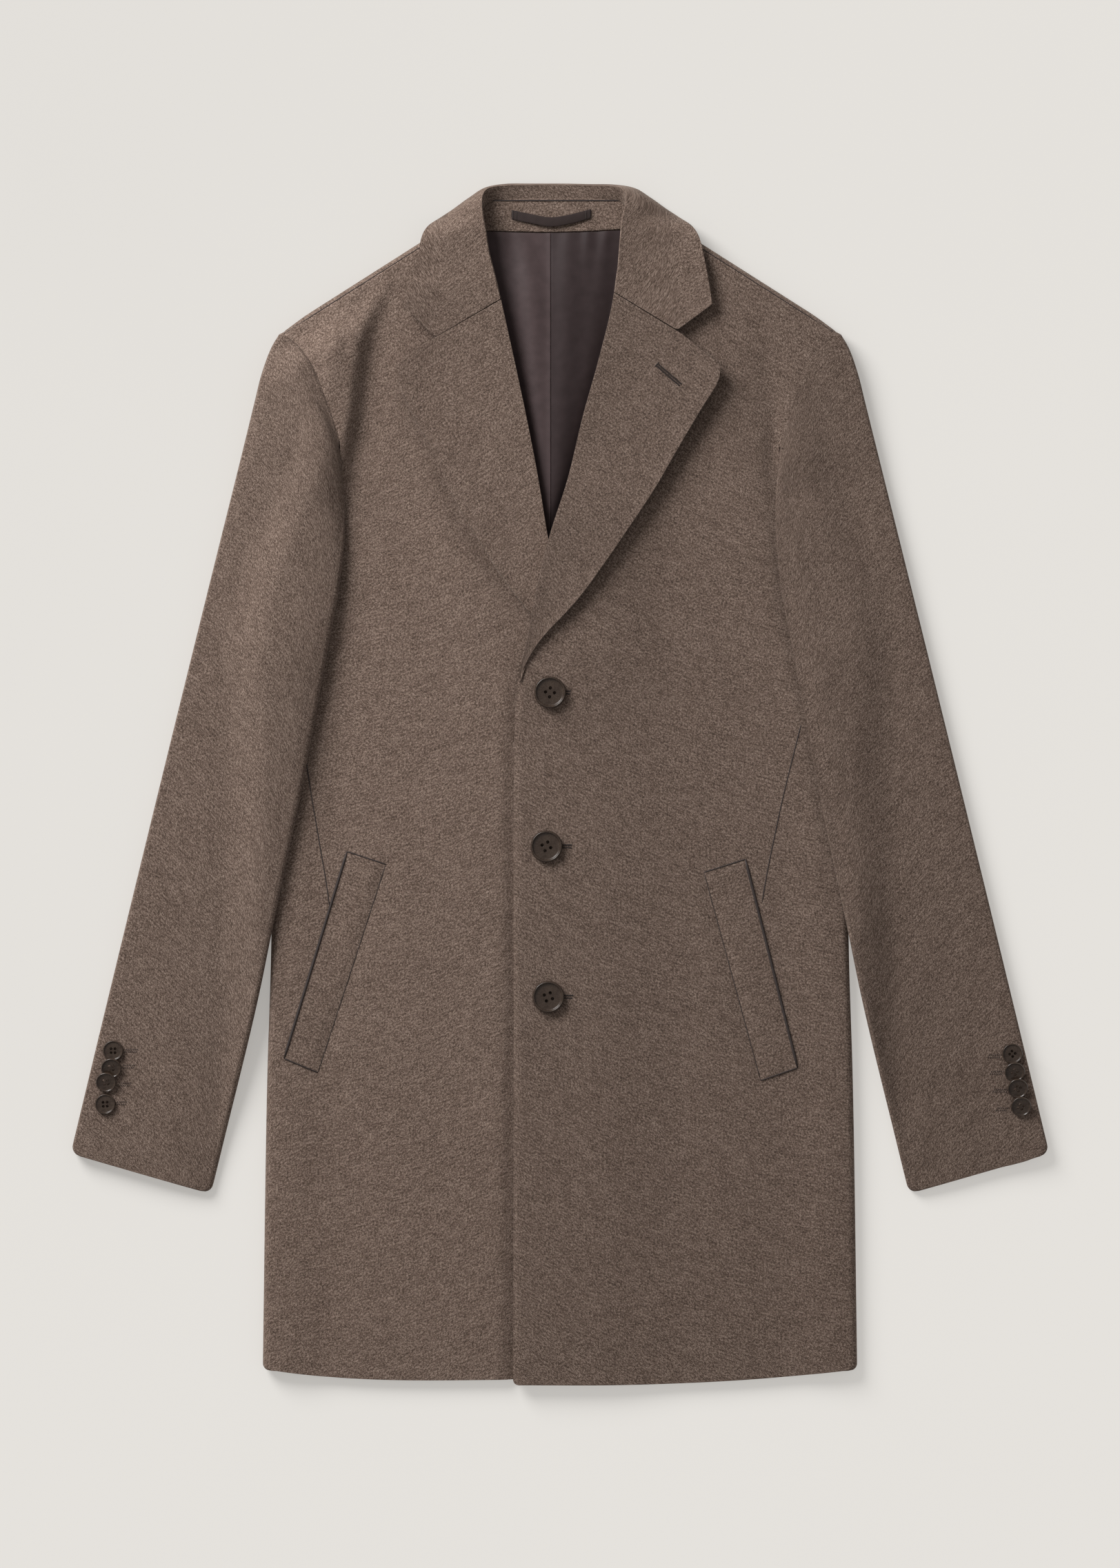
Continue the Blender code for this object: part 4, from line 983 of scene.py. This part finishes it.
def sleeve_upper_points(side):
    """Rows from the armhole seam to the cuff; columns from the inner tail over the top to the outer tail."""
    rows = []
    spread = np.linspace(0, 1, HEAD_COLUMNS)
    for inner_y in places(SLEEVE_ROWS[0][0], SLEEVE_ROWS[-1][0], ROW_STEP):
        inner, outer, bow, head = sleeve_section(inner_y)
        length = np.linalg.norm(outer - inner)
        outward = (outer - inner) / length
        ends = [sleeve_end(side, inner, 0.0, head), sleeve_end(side, outer, 1.0, head)]
        radii = [(top - base) / 2 for base, top in ends]
        shares = mixed(radii[0] / length, 1 - OUTER_SQUEEZE * radii[1] / length, spread)
        place = sleeve_places(inner, outer, bow, shares)
        across, y = place.T
        seam = front_surface(side, across, y) + along(HEAD_PROUD[side], spread)
        puff = HEAD_PUFF[side] * 4 * head * (1 - head) * np.sin(math.pi * shares)
        top = mixed(sleeve_base(side, across, y) + sleeve_height(side, spread, inner_y), seam, head) + puff
        below = SLEEVE_ROWS[0][0] - inner_y
        rolled = smooth(below, *HEAD_ROLL_RISE) * (1 - smooth(below, *HEAD_ROLL_FALL))
        top += HEAD_ROLL[side] * rolled * along(HEAD_ROLL_SHARE, spread)
        top[0], top[-1] = ends[0][1], ends[1][1]
        tail = SLEEVE_TAIL * (1 - HEAD_TAIL_CUT * head)
        section = []
        folds = ((inner, -outward, ends[0], 1), (outer, outward, ends[1], OUTER_SQUEEZE))
        for edge, way, (low, high), squeeze in folds:
            turned = [fold(edge, way, high, low, angle, squeeze) for angle in FOLD_ANGLES]
            radius = (high - low) / 2
            tails = [edge - way * (radius + tail * reach) for reach in TAIL_SHARES]
            turned += [[*p, min(sleeve_base(side, *p), low)] for p in tails]
            section.append(turned)
        rows.append(section[0][::-1] + np.column_stack([place, top]).tolist() + section[1])
    points = np.array(rows)
    turned = len(section[0])
    tucked = head_tuck(side, points[0], turned)
    points = mirrored(np.concatenate([tucked, points]), side)
    keeps = every_cell(points)
    keeps[: len(tucked), :turned] = False
    return points, keeps


def sleeve_under_points(side):
    """The plain panel under a sleeve, between the upper panel's tails."""
    rows = []
    for inner_y in places(UNDER_TOP, SLEEVE_ROWS[-1][0], UNDER_STEP, first=False):
        inner, outer, _, head = sleeve_section(inner_y)
        length = np.linalg.norm(outer - inner)
        tail = SLEEVE_TAIL * (1 - HEAD_TAIL_CUT * head) + SEAM
        starts = []
        for edge, share in ((inner, 0.0), (outer, 1.0)):
            base, top = sleeve_end(side, edge, share, head)
            starts.append((top - base) / 2 + tail)
        shares = np.linspace(starts[0] / length, 1 - starts[1] / length, UNDER_COLUMNS)
        place = sleeve_places(inner, outer, 0.0, shares)
        rows.append(np.column_stack([place, sleeve_base(side, place[:, 0], place[:, 1])]))
    return mirrored(rows, side)


def lining_points(side):
    """One side of the lining inside the neck, from its middle seam to under the front, with soft folds."""
    y = places(LINING_TOP, LINING_LOW, LINING_STEP, first=False, last=False)[:, None]
    middle = side * LINING_SEAM_X + SEAM / 2
    at_neck = along(NECK_EDGE, y) - LINING_NECK_GAP
    outer = np.where(y > NECK_END, at_neck, roll_across(side, y) + LINING_TUCK)
    across = mixed(middle, outer, np.linspace(0, 1, LINING_COLUMNS))
    x = side * across
    reach = x / FACING_SIDE_ACROSS
    sag = FACING_BOTTOM_SAG * (1 - reach**2) - FACING_TILT * reach
    first, last = -roll_across(RIGHT, y), roll_across(LEFT, y)
    half = np.maximum(last - first, LINING_PUFF_WIDTH) / 2
    z = LINING_BASE + LINING_WALL
    z = z + along(LINING_PUFF, y) * np.clip((x - first) * (last - x) / half**2, 0, 1)
    for table in LINING_FOLDS:
        z = z + crease(table, x, y)
    if side == RIGHT:
        z = z + LINING_PLEAT * np.exp(-(((across - middle) / LINING_PLEAT_WIDTH) ** 2))
    return mirrored(grid_of(across, y - sag * smooth(y, LINING_SAG_FROM, LINING_TOP), z), side)


def facing_points():
    """The wool facing at the back of the neck, between the collar's seam and the lining."""
    share = places(0.0, 1.0, FACING_STEP, first=False, last=False)[:, None]
    place = np.linspace(-1, 1, FACING_COLUMNS)
    top = FACING_TOP[-1][0] * place
    low_y = FACING_BOTTOM - FACING_BOTTOM_SAG * (1 - place**2) + FACING_TILT * place + SEAM
    x = mixed(top, FACING_SIDE_ACROSS * place, share)
    return grid_of(x, mixed(along(FACING_TOP, abs(top)), low_y, share), LINING_BASE + FACING_WALL)


def loop_points():
    """The hanger loop, a strap that is sewn down at both ends."""
    reach = np.linspace(0, 1, LOOP_ROWS)[:, None]
    over = np.array(LOOP_COLUMNS)
    x = mixed(LOOP_LINE[0][0], LOOP_LINE[-1][0], reach)
    z = LINING_BASE + FACING_WALL + SEAM + LOOP_WALL
    z = z + LOOP_RISE * np.sin(math.pi * reach) - LOOP_CROWN * over**4
    return grid_of(x, along(LOOP_LINE, x) + over * LOOP_WIDTH / 2, z)


def loop_stitches():
    """Two short stitches across the strap at each of its ends."""
    grid = loop_points()
    return [grid[row] + np.array([0.0, 0.0, BLIND_RADIUS / 2]) for row in LOOP_STITCH_ROWS]


def welt_points(side):
    """A pocket welt's outer face, on the front's own surface."""
    outer_top, inner_top, inner_low, outer_low = (np.array(c) for c in WELTS[side])
    over = np.linspace(0, 1, WELT_COLUMNS)[:, None]
    down = places(0.0, 1.0, WELT_STEP, first=False, last=False)[:, None, None]
    place = mixed(mixed(outer_top, inner_top, over), mixed(outer_low, inner_low, over), down)
    x, y = np.moveaxis(place, -1, 0)
    return grid_of(x, y, front_top(side, side * x, y) + WELT_PROUD)


def fill(tree, node, inputs):
    """Puts outputs of other nodes, or plain values, into a node's sockets."""
    for socket, value in inputs.items():
        if isinstance(value, bpy.types.NodeSocket):
            tree.links.new(value, node.inputs[socket])
        else:
            node.inputs[socket].default_value = value


def new_node(tree, kind, output, inputs, **settings):
    """The output of a new node."""
    made = tree.nodes.new("ShaderNode" + kind)
    for name, value in settings.items():
        setattr(made, name, value)
    fill(tree, made, inputs)
    return made.outputs[output]


def new_material(name):
    """A material, its tree and its shader."""
    made = bpy.data.materials.new(name)
    made.use_nodes = True
    tree = made.node_tree
    return made, tree, tree.nodes["Principled BSDF"]


def cloth_place(tree, way):
    """The cloth's own lengths in millimetres, drawn out along the weft or not."""
    uv = new_node(tree, "UVMap", "UV", {})
    return new_node(tree, "Mapping", "Vector", {"Vector": uv, "Scale": UV_SCALES[way]})


def noise(tree, vector, scale, detail, roughness):
    inputs = {"Vector": vector, "Scale": scale, "Detail": detail, "Roughness": roughness}
    return new_node(tree, "TexNoise", "Fac", inputs)


def added(tree, parts):
    """The sum of values times weights, around a half."""
    total = 0.5 - 0.5 * sum(weight for _, weight in parts)
    for value, weight in parts:
        total = new_node(tree, "Math", "Value", {0: value, 1: weight, 2: total}, operation="MULTIPLY_ADD")
    return total


def ramp(tree, value, stops):
    made = tree.nodes.new("ShaderNodeValToRGB")
    elements = made.color_ramp.elements
    while len(elements) < len(stops):
        elements.new(0.5)
    for element, (place, colour) in zip(elements, stops):
        element.position = place
        element.color = (*colour, 1)
    fill(tree, made, {"Fac": value})
    return made.outputs["Color"]


def relief(tree, height, strength, distance):
    return new_node(tree, "Bump", "Normal", {"Height": height, "Strength": strength, "Distance": distance})


def shaded(colours, shade):
    return [[shade * c for c in colour] for colour in colours]


def wool_material(name, shade):
    """Brushed melton: a melange of dark and pale fibres, faint streaks along the weft and a short pile. Its
    colours are scaled by the given shade, which paints shade on some panels.
    """
    made, tree, shader = new_material(name)
    vectors = {way: cloth_place(tree, way) for way in UV_SCALES}
    tones = [noise(tree, vectors[way], *sizes) for way, sizes, _, _ in WOOL_LAYERS]
    value = added(tree, [(tone, layer[2]) for tone, layer in zip(tones, WOOL_LAYERS)])
    height = added(tree, [(tone, layer[3]) for tone, layer in zip(tones, WOOL_LAYERS) if layer[3]])
    stops, colours = zip(*WOOL_COLOURS)
    colour = ramp(tree, value, list(zip(stops, shaded(colours, shade))))
    fill(tree, shader, {"Base Color": colour, "Normal": relief(tree, height, *WOOL_RELIEF), **WOOL_SHADER})
    return made


def satin_material(name, colours, roughness):
    """Smooth lining cloth with a fine diagonal twill."""
    made, tree, shader = new_material(name)
    even = cloth_place(tree, "even")
    twill = new_node(tree, "TexWave", "Fac", {"Vector": even, **TWILL}, bands_direction="DIAGONAL")
    value = added(tree, list(zip((twill, noise(tree, even, *SLUB_NOISE)), SATIN_WEIGHTS)))
    colour = ramp(tree, value, list(zip(SATIN_STOPS, colours)))
    normal = relief(tree, twill, *SATIN_RELIEF)
    fill(tree, shader, {"Base Color": colour, "Normal": normal, "Roughness": roughness, **SATIN_SHADER})
    return made


def horn_material():
    """Polished dark horn with cloudy streaks."""
    made, tree, shader = new_material("polished_horn")
    where = new_node(tree, "TexCoord", "Object", {})
    streak = noise(tree, where, *HORN_STREAK)
    value = added(tree, list(zip((noise(tree, where, *HORN_CLOUD), streak), HORN_WEIGHTS)))
    colour = ramp(tree, value, HORN_COLOURS)
    roughness = ramp(tree, streak, HORN_ROUGHNESS)
    fill(tree, shader, {"Base Color": colour, "Roughness": roughness, "Specular IOR Level": HORN_SPECULAR})
    return made


def thread_material():
    """Dark sewing thread with a twist. The same dark material paints the shade in seams and in the welts'
    mouths.
    """
    made, tree, shader = new_material("thread_and_painted_shade")
    twist = noise(tree, new_node(tree, "TexCoord", "Object", {}), *THREAD_TWIST)
    fill(tree, shader, {"Base Color": ramp(tree, twist, THREAD_AND_SHADE_COLOURS), "Roughness": THREAD_ROUGHNESS})
    return made


def floor_material():
    """A plain pale floor. It glows where little light falls, and scatters less of it near the light."""
    made, tree, shader = new_material("pale_floor")

    def worked(operation, *values, kind="Math", output="Value"):
        return new_node(tree, kind, output, dict(enumerate(values)), operation=operation)

    where = new_node(tree, "TexCoord", "Object", {})
    aim = -Vector(KEY_PLACE).normalized()
    from_key = worked("SUBTRACT", where, KEY_PLACE, kind="VectorMath", output="Vector")
    distance = worked("LENGTH", from_key, kind="VectorMath")
    ahead = worked("DOT_PRODUCT", from_key, aim, kind="VectorMath")
    lit = worked("MULTIPLY", worked("MAXIMUM", ahead, 0.0), KEY_POWER * KEY_PLACE[2] / math.pi**2)
    lit = worked("DIVIDE", lit, worked("POWER", distance, 4.0))
    loss = worked("POWER", worked("DIVIDE", KEY_SIZE, distance), 2.0)
    loss = worked("MULTIPLY", lit, worked("MULTIPLY", loss, KEY_LOSS))
    lit = worked("ADD", worked("SUBTRACT", lit, loss), FILL_STRENGTH)
    share = worked("MINIMUM", FLOOR_SHARE, worked("DIVIDE", FLOOR_LEVEL, lit))
    tones = [(place, [level * c for c in FLOOR_TINT]) for place, level in FLOOR_TONES]
    colour = ramp(tree, noise(tree, where, *FLOOR_NOISE), tones)
    colour = worked("MULTIPLY", colour, share, kind="VectorMath", output="Vector")
    glow = worked("SUBTRACT", FLOOR_LEVEL, worked("MULTIPLY", lit, FLOOR_SHARE))
    glow = ramp(tree, glow, [(0.0, (0.0,) * 3), (1.0, FLOOR_TINT)])
    fill(tree, shader, {"Base Color": colour, "Emission Color": glow, **FLOOR_SHADER})
    return made


def grid_quads(points):
    """The corners of a grid's cells, as places in its list of points."""
    rows, columns, _ = points.shape
    index = np.arange(rows * columns).reshape(rows, columns)
    return grid_of(index[:-1, :-1], index[1:, :-1], index[1:, 1:], index[:-1, 1:])


def grid_mesh(name, points, keeps, facing):
    """A grid as quads that face up, or down where facing is -1. Its UV map holds the cloth's lengths."""
    rows, columns, _ = points.shape
    quads = grid_quads(points)[keeps]
    flat = points.reshape(-1, 3) * MM
    corner = flat[quads]
    normal = np.cross(corner[:, 2] - corner[:, 0], corner[:, 3] - corner[:, 1])
    if (normal[:, 2].sum() > 0) != (facing > 0):
        quads = quads[:, ::-1]
    down = np.linalg.norm(np.diff(points, axis=0), axis=-1)
    over = np.linalg.norm(np.diff(points, axis=1), axis=-1)
    u = np.concatenate([np.zeros((rows, 1)), np.cumsum(over, axis=1)], axis=1)
    v = np.concatenate([np.zeros((1, columns)), np.cumsum(down, axis=0)], axis=0)
    uv = np.stack([u, v], -1).reshape(-1, 2) * MM + len(name) * UV_SHIFT
    used, renamed = np.unique(quads, return_inverse=True)
    renamed = renamed.reshape(quads.shape)
    mesh = bpy.data.meshes.new(name)
    mesh.from_pydata(flat[used].tolist(), [], renamed.tolist())
    layer = mesh.uv_layers.new(name="cloth")
    layer.data.foreach_set("uv", uv[quads.reshape(-1)].ravel())
    mesh.shade_smooth()
    return mesh


def cut_of(points, keeps):
    """The flat width, length and area of a panel, in metres."""
    a = points[1:, 1:] - points[:-1, :-1]
    b = points[1:, :-1] - points[:-1, 1:]
    cells = np.linalg.norm(np.cross(a, b), axis=-1) / 2
    down = np.linalg.norm(np.diff(points, axis=0), axis=-1).sum(axis=0).max()
    over = np.linalg.norm(np.diff(points, axis=1), axis=-1).sum(axis=1).max()
    return over * MM, down * MM, cells[keeps].sum() * MM * MM


def new_piece(name, mesh, finish):
    piece = bpy.data.objects.new(name, mesh)
    bpy.context.scene.collection.objects.link(piece)
    mesh.materials.append(finish)
    return piece


def round_edges(piece, width, angle, segments):
    soft = piece.modifiers.new("Round edges", "BEVEL")
    soft.limit_method = "ANGLE"
    soft.angle_limit = math.radians(angle)
    soft.width = width * MM
    soft.segments = segments


def panel(name, points, wall, finish, rests_on, facing=1, keeps=None, edge=EDGE_ROUND):
    """A cloth shell with round edges that stands for the node of its name."""
    if keeps is None:
        keeps = every_cell(points)
    piece = new_piece(name + "_cloth", grid_mesh(name, points, keeps, facing), finish)
    solid = piece.modifiers.new("Wall", "SOLIDIFY")
    solid.thickness = wall * MM
    solid.offset = -1
    solid.use_even_offset = False
    round_edges(piece, edge, EDGE_ANGLE, EDGE_SEGMENTS)
    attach(piece, "root")
    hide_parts(name)
    if rests_on:
        width, length, area = cut_of(points, keeps)
        area = min(area, width * length)
    return piece


def tube_mesh(name, paths, radius):
    """Round threads along paths, as one mesh."""
    points, faces = [], []
    turns = np.linspace(0, 2 * math.pi, THREAD_SIDES, endpoint=False)[:, None]
    for path in paths:
        path = np.array(path, float)
        run = unit(np.gradient(path, axis=0))
        across = unit(np.cross(run, [0.0, 0.0, 1.0]))
        up = np.cross(across, run)
        taper = np.ones(len(path))
        taper[[0, -1]] = THREAD_TAPER
        first = len(points)
        for k, place in enumerate(path):
            away = across[k] * np.cos(turns) + up[k] * np.sin(turns)
            points += ((place + away * radius * taper[k]) * MM).tolist()
        rings = np.arange(first, len(points)).reshape(len(path), THREAD_SIDES)
        around = np.roll(rings, -1, axis=1)
        faces += grid_of(rings[:-1], around[:-1], around[1:], rings[1:]).reshape(-1, 4).tolist()
        faces += [rings[0, ::-1].tolist(), rings[-1].tolist()]
    mesh = bpy.data.meshes.new(name)
    mesh.from_pydata(points, [], faces)
    mesh.shade_smooth()
    return mesh


def thread(name, paths, radius):
    piece = new_piece(name, tube_mesh(name, paths, radius), thread_and_painted_shade)
    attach(piece, "root")
    return piece


def on_front(side, line, sunk):
    """A line of x and y laid on a front, sunk into its cloth."""
    return [[x, y, front_top(side, side * x, y) - sunk] for x, y in line]


def dart_path(side):
    table = DARTS[side]
    y = np.linspace(table[0][0], table[-1][0], LINE_POINTS)
    return on_front(side, list(zip(side * along(table, y), y)), DART_SUNK)


def slanted_stitches(start, end, y, height):
    """A blind buttonhole: two rows of short slanted stitches."""
    paths = []
    for k in np.arange(start, end, BLIND_STEP):
        for low in BLIND_STARTS:
            path = []
            for share, rise in BLIND_BEND:
                x, there = k + BLIND_SLANT * (low + BLIND_ROW * share), y + low + BLIND_ROW * share
                path.append([x, there, height(x, there) + rise])
            paths.append(path)
    return paths


def stitched_hole(start, end, half, height):
    """Stitches across both lips of a buttonhole between two places, as short bent threads."""
    start, end = np.array(start, float), np.array(end, float)
    length = np.linalg.norm(end - start)
    run = (end - start) / length
    over = beside(run)
    paths = []
    for k in np.arange(0, length, HOLE_SPACING):
        for way in (1, -1):
            low = start + run * (k + HOLE_LIP * way) + over * way * HOLE_LIP
            high = low + over * way * half + run * HOLE_SLANT
            bent = zip((low, (low + high) / 2, high), HOLE_BEND)
            paths.append([[*place, height(*place) + rise] for place, rise in bent])
    return paths


def surface(grid):
    """The height of a grid's upper face, as a function of x and y."""
    tree = BVHTree.FromPolygons(grid.reshape(-1, 3).tolist(), grid_quads(grid).reshape(-1, 4).tolist())

    def height(x, y):
        return tree.ray_cast(Vector((x, y, ABOVE_ALL)), Vector((0, 0, -1)))[0].z

    return height


def welt_lines(side):
    """The dark mouth of a welt pocket, a thread that paints the shadow in its opening, and the thin seam
    round the welt's other sides, a dark thread that also paints the seam's shade.
    """
    outer_top, inner_top, inner_low, outer_low = (np.array(c) for c in WELTS[side])
    share = np.linspace(0, 1, WELT_LINE_POINTS)[:, None]
    mouth = on_front(side, mixed(outer_top, outer_low, share), -WELT_PROUD)
    seam = on_front(side, mixed(inner_top, inner_low, share), -WELT_PROUD * WELT_SEAM_SHOWN[side])
    corners = ((outer_top, inner_top), (inner_low, outer_low))
    return mouth, seam, [on_front(side, mixed(*pair, share), -WELT_PROUD) for pair in corners]


def button_mesh(name, radius, thickness):
    """A button's round form, without holes."""
    profile = np.array(BUTTON_PROFILE) * (radius, thickness)
    angles = np.linspace(0, 2 * math.pi, BUTTON_STEPS, endpoint=False)
    points = [(0.0, 0.0, profile[0, 1])]
    for reach, height in profile[1:]:
        points += [(reach * math.cos(angle), reach * math.sin(angle), height) for angle in angles]
    points.append((0.0, 0.0, 0.0))
    rings = np.arange(1, len(points) - 1).reshape(-1, BUTTON_STEPS)
    around = np.roll(rings, -1, axis=1)
    top = grid_of(0, rings[0], around[0])
    quads = grid_of(rings[:-1], rings[1:], around[1:], around[:-1]).reshape(-1, 4)
    bottom = grid_of(around[-1], rings[-1], len(points) - 1)
    mesh = bpy.data.meshes.new(name)
    mesh.from_pydata((np.array(points) * MM).tolist(), [], top.tolist() + quads.tolist() + bottom.tolist())
    mesh.shade_smooth()
    return mesh


def button(name, size, place, turn, tilt=0.0):
    """A turned button with a raised rim and four holes. Its top is as high as its node's."""
    radius, thickness = size["radius"], size["thickness"]
    piece = new_piece(name + "_horn", button_mesh(name, radius, thickness), horn)
    cutters = []
    for corner in HOLE_CORNERS:
        angle = math.radians(turn + corner)
        reach = size["spread"] * MM
        spot = (reach * math.cos(angle), reach * math.sin(angle), thickness * MM / 2)
        depth = HOLE_DEPTH * thickness * MM
        bpy.ops.mesh.primitive_cylinder_add(
            vertices=HOLE_STEPS, radius=size["hole"] * MM, depth=depth, location=spot
        )
        cutters.append(bpy.context.object)
    for cutter in cutters:
        hole = piece.modifiers.new("Hole", "BOOLEAN")
        hole.operation = "DIFFERENCE"
        hole.object = cutter
    graph = bpy.context.evaluated_depsgraph_get()
    done = bpy.data.meshes.new_from_object(piece.evaluated_get(graph))
    piece.modifiers.clear()
    piece.data = done
    for cutter in cutters:
        bpy.data.objects.remove(cutter)
    done.shade_smooth()
    done.set_sharp_from_angle(angle=math.radians(BUTTON_SHARP))
    done.materials.clear()
    done.materials.append(horn)
    round_edges(piece, HOLE_EDGE, HOLE_EDGE_ANGLE, HOLE_EDGE_SEGMENTS)
    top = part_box(name)[1].z / MM
    rim = thickness * math.cos(tilt) + BUTTON_RIM * radius * math.sin(tilt)
    piece.location = Vector((*place, top - rim)) * MM
    piece.rotation_euler = (tilt, 0, 0)
    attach(piece, "root")
    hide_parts(name)
    return piece


def front_holes():
    """The stitched ends of the front's buttonholes, beside the buttons."""
    paths = []
    for (x, y, _), reach in zip(FRONT_BUTTONS, FRONT_HOLE_ENDS):
        start, end = (x + FRONT_HOLE_START, y), (x + reach, y)
        paths += stitched_hole(start, end, FRONT_HOLE_HALF, lambda px, py: front_top(LEFT, px, py))
    return thread("front_holes", paths, THREAD_RADIUS)


def lapel_hole():
    """The left lapel's buttonhole, with a bar at its upper end."""

    def height(x, y):
        return leaf_top(LEFT, x, y) + LAPEL_HOLE_LIFT

    paths = stitched_hole(*LAPEL_HOLE, LAPEL_HOLE_HALF, height)
    start, end = (np.array(place) for place in LAPEL_HOLE)
    over = beside(end - start)
    bar = [start + LAPEL_HOLE_BAR * reach * over for reach in BAR_PLACES]
    paths.append([[*place, leaf_top(LEFT, *place) + BAR_LIFT] for place in bar])
    return thread("lapel_hole", paths, THREAD_RADIUS)


def dress_front(side):
    """A front with its dart, welt and lapel."""
    which = SIDE_NAMES[side]
    on_it = [f"front_{which}_cloth"]
    mouth, seam, ends = welt_lines(side)
    # Dark threads in the dart and round the welt: the mouth's is painted shadow in the pocket's opening, the
    # seams' also paint the shade in their grooves
    trims = [
        thread(f"dart_{which}", [dart_path(side)], DART_RADIUS),
        thread(f"welt_mouth_{which}", [mouth], WELT_MOUTH),
        thread(f"welt_seam_{which}", [seam], WELT_SEAM),
        thread(f"welt_ends_{which}", ends, WELT_ENDS),
    ]
    if side == LEFT:
        trims.append(front_holes())
    grid, keeps = front_points(side)
    # A dark thread sunk in the shoulder seam, which also paints the shade in it
    shoulder = grid[0, : -FOLD_STEPS - 2] + np.array([0.0, SHOULDER_GAP, -SHOULDER_THREAD_SUNK])
    trims.append(thread(f"shoulder_seam_{which}", [shoulder], THREAD_RADIUS))
    finish = painted_shade_wools["front"][side]
    panel(f"front_{which}", grid, WALL, finish, ["back_cloth"], keeps=keeps)
    panel(f"welt_{which}", welt_points(side), WELT_WALL, finish, on_it, edge=THIN_EDGE)
    trims = [lapel_hole()] if side == LEFT else []
    panel(f"lapel_{which}", lapel_points(side), LEAF_WALL, painted_shade_wools["lapel"][side], on_it)


def dress_sleeve(side):
    """A sleeve's two panels, with the blind holes of its cuff."""
    which = SIDE_NAMES[side]
    grid, keeps = sleeve_upper_points(side)
    holes = []
    for start, end, y in CUFF_HOLES[side]:
        holes += slanted_stitches(start, end, y, surface(grid))
    trims = [thread(f"cuff_holes_{which}", holes, BLIND_RADIUS)]
    rests_on = [f"front_{which}_cloth", "floor"]
    panel(f"sleeve_upper_{which}", grid, WALL, painted_shade_wools["sleeve"][side], rests_on, keeps=keeps)
    panel(f"sleeve_under_{which}", sleeve_under_points(side), WALL, wool_under, ["floor"], facing=-1)


def dress_neck():
    """The collar, and what shows inside the neck."""
    panel("collar", collar_points(), LEAF_WALL, wool, ["front_right_cloth", "front_left_cloth", "floor"])
    loop = panel("hanger_loop", loop_points(), LOOP_WALL, strap_satin, [], edge=STRAP_EDGE)
    # The neck seam's dark thread also paints the shade in the seam
    first, last, y = NECK_SEAM
    z = LINING_BASE + FACING_WALL + NECK_THREAD / 2
    seam = [[x, y, z] for x in np.linspace(first, last, LINE_POINTS)]
    trims = [
        loop,
        thread("neck_seam", [seam], NECK_THREAD),
        thread("loop_stitches", loop_stitches(), BLIND_RADIUS),
    ]
    panel("neck_facing", facing_points(), FACING_WALL, wool, ["back_cloth"], edge=THIN_EDGE)


# Shaded copies of the wool, in painted shade: one for collar and facing, one for each kind of panel on each
# side
wool = wool_material("wool_melton", COLLAR_PAINTED_SHADE)
painted_shade_wools = {
    kind: {side: wool_material(f"wool_{kind}_{SIDE_NAMES[side]}", shade) for side, shade in shades.items()}
    for kind, shades in PAINTED_SHADES.items()
}
wool_under = wool_material("wool_melton_under", UNDER_SHADE)
strap_satin = satin_material("strap_satin", STRAP_COLOURS, STRAP_ROUGHNESS)
horn = horn_material()
thread_and_painted_shade = thread_material()

back_grid, back_keeps = back_points()
panel("back", back_grid, WALL, wool_under, ["floor"], facing=-1, keeps=back_keeps)
for side, which in SIDE_NAMES.items():
    dress_front(side)
    dress_sleeve(side)
    # The right half's colours carry painted light, the left half's painted shade
    colours = shaded(LINING_COLOURS, LINING_PAINTED_SHADES[side])
    satin = satin_material(f"lining_satin_{which}", colours, LINING_ROUGHNESS)
    grid = lining_points(side)
    panel(f"lining_{which}", grid, LINING_WALL, satin, ["back_cloth"], edge=LINING_EDGE)
    for k, (x, y, turn) in enumerate(CUFF_BUTTONS[side]):
        tilt = CUFF_TILT if CUFF_TILTED[side][k] else 0.0
        button(f"button_cuff_{which}_{k + 1}", CUFF_BUTTON, (x, y), turn, tilt)
dress_neck()
for k, (x, y, turn) in enumerate(FRONT_BUTTONS):
    button(f"button_front_{k + 1}", FRONT_BUTTON, (x, y), turn)

bpy.ops.mesh.primitive_plane_add(size=FLOOR_SIZE, location=(0, 0, FLOOR_Z))
floor = bpy.context.object
floor.name = "floor"
floor.data.materials.append(floor_material())

camera = bpy.data.objects.new("camera", bpy.data.cameras.new("camera"))
bpy.context.scene.collection.objects.link(camera)
camera.location = (0, 0, CAMERA_HEIGHT)
camera.data.sensor_fit = "VERTICAL"
camera.data.sensor_height = SENSOR
camera.data.lens = SENSOR * (CAMERA_HEIGHT - CLOTH_HEIGHT) / (PHOTO_PIXELS[1] * PIXEL)
camera.data.clip_end = CLIP_END
bpy.context.scene.camera = camera

key_light = bpy.data.lights.new("key", "AREA")
key_light.shape = "DISK"
key_light.size = KEY_SIZE
key_light.energy = KEY_POWER
key = bpy.data.objects.new("key", key_light)
bpy.context.scene.collection.objects.link(key)
key.location = KEY_PLACE
key.rotation_euler = (-Vector(KEY_PLACE)).to_track_quat("-Z", "Y").to_euler()
world = bpy.data.worlds.new("studio")
bpy.context.scene.world = world
world.use_nodes = True
background = world.node_tree.nodes["Background"]
fill(world.node_tree, background, {"Color": FILL_COLOUR, "Strength": FILL_STRENGTH})
bpy.context.scene.view_settings.view_transform = "Standard"
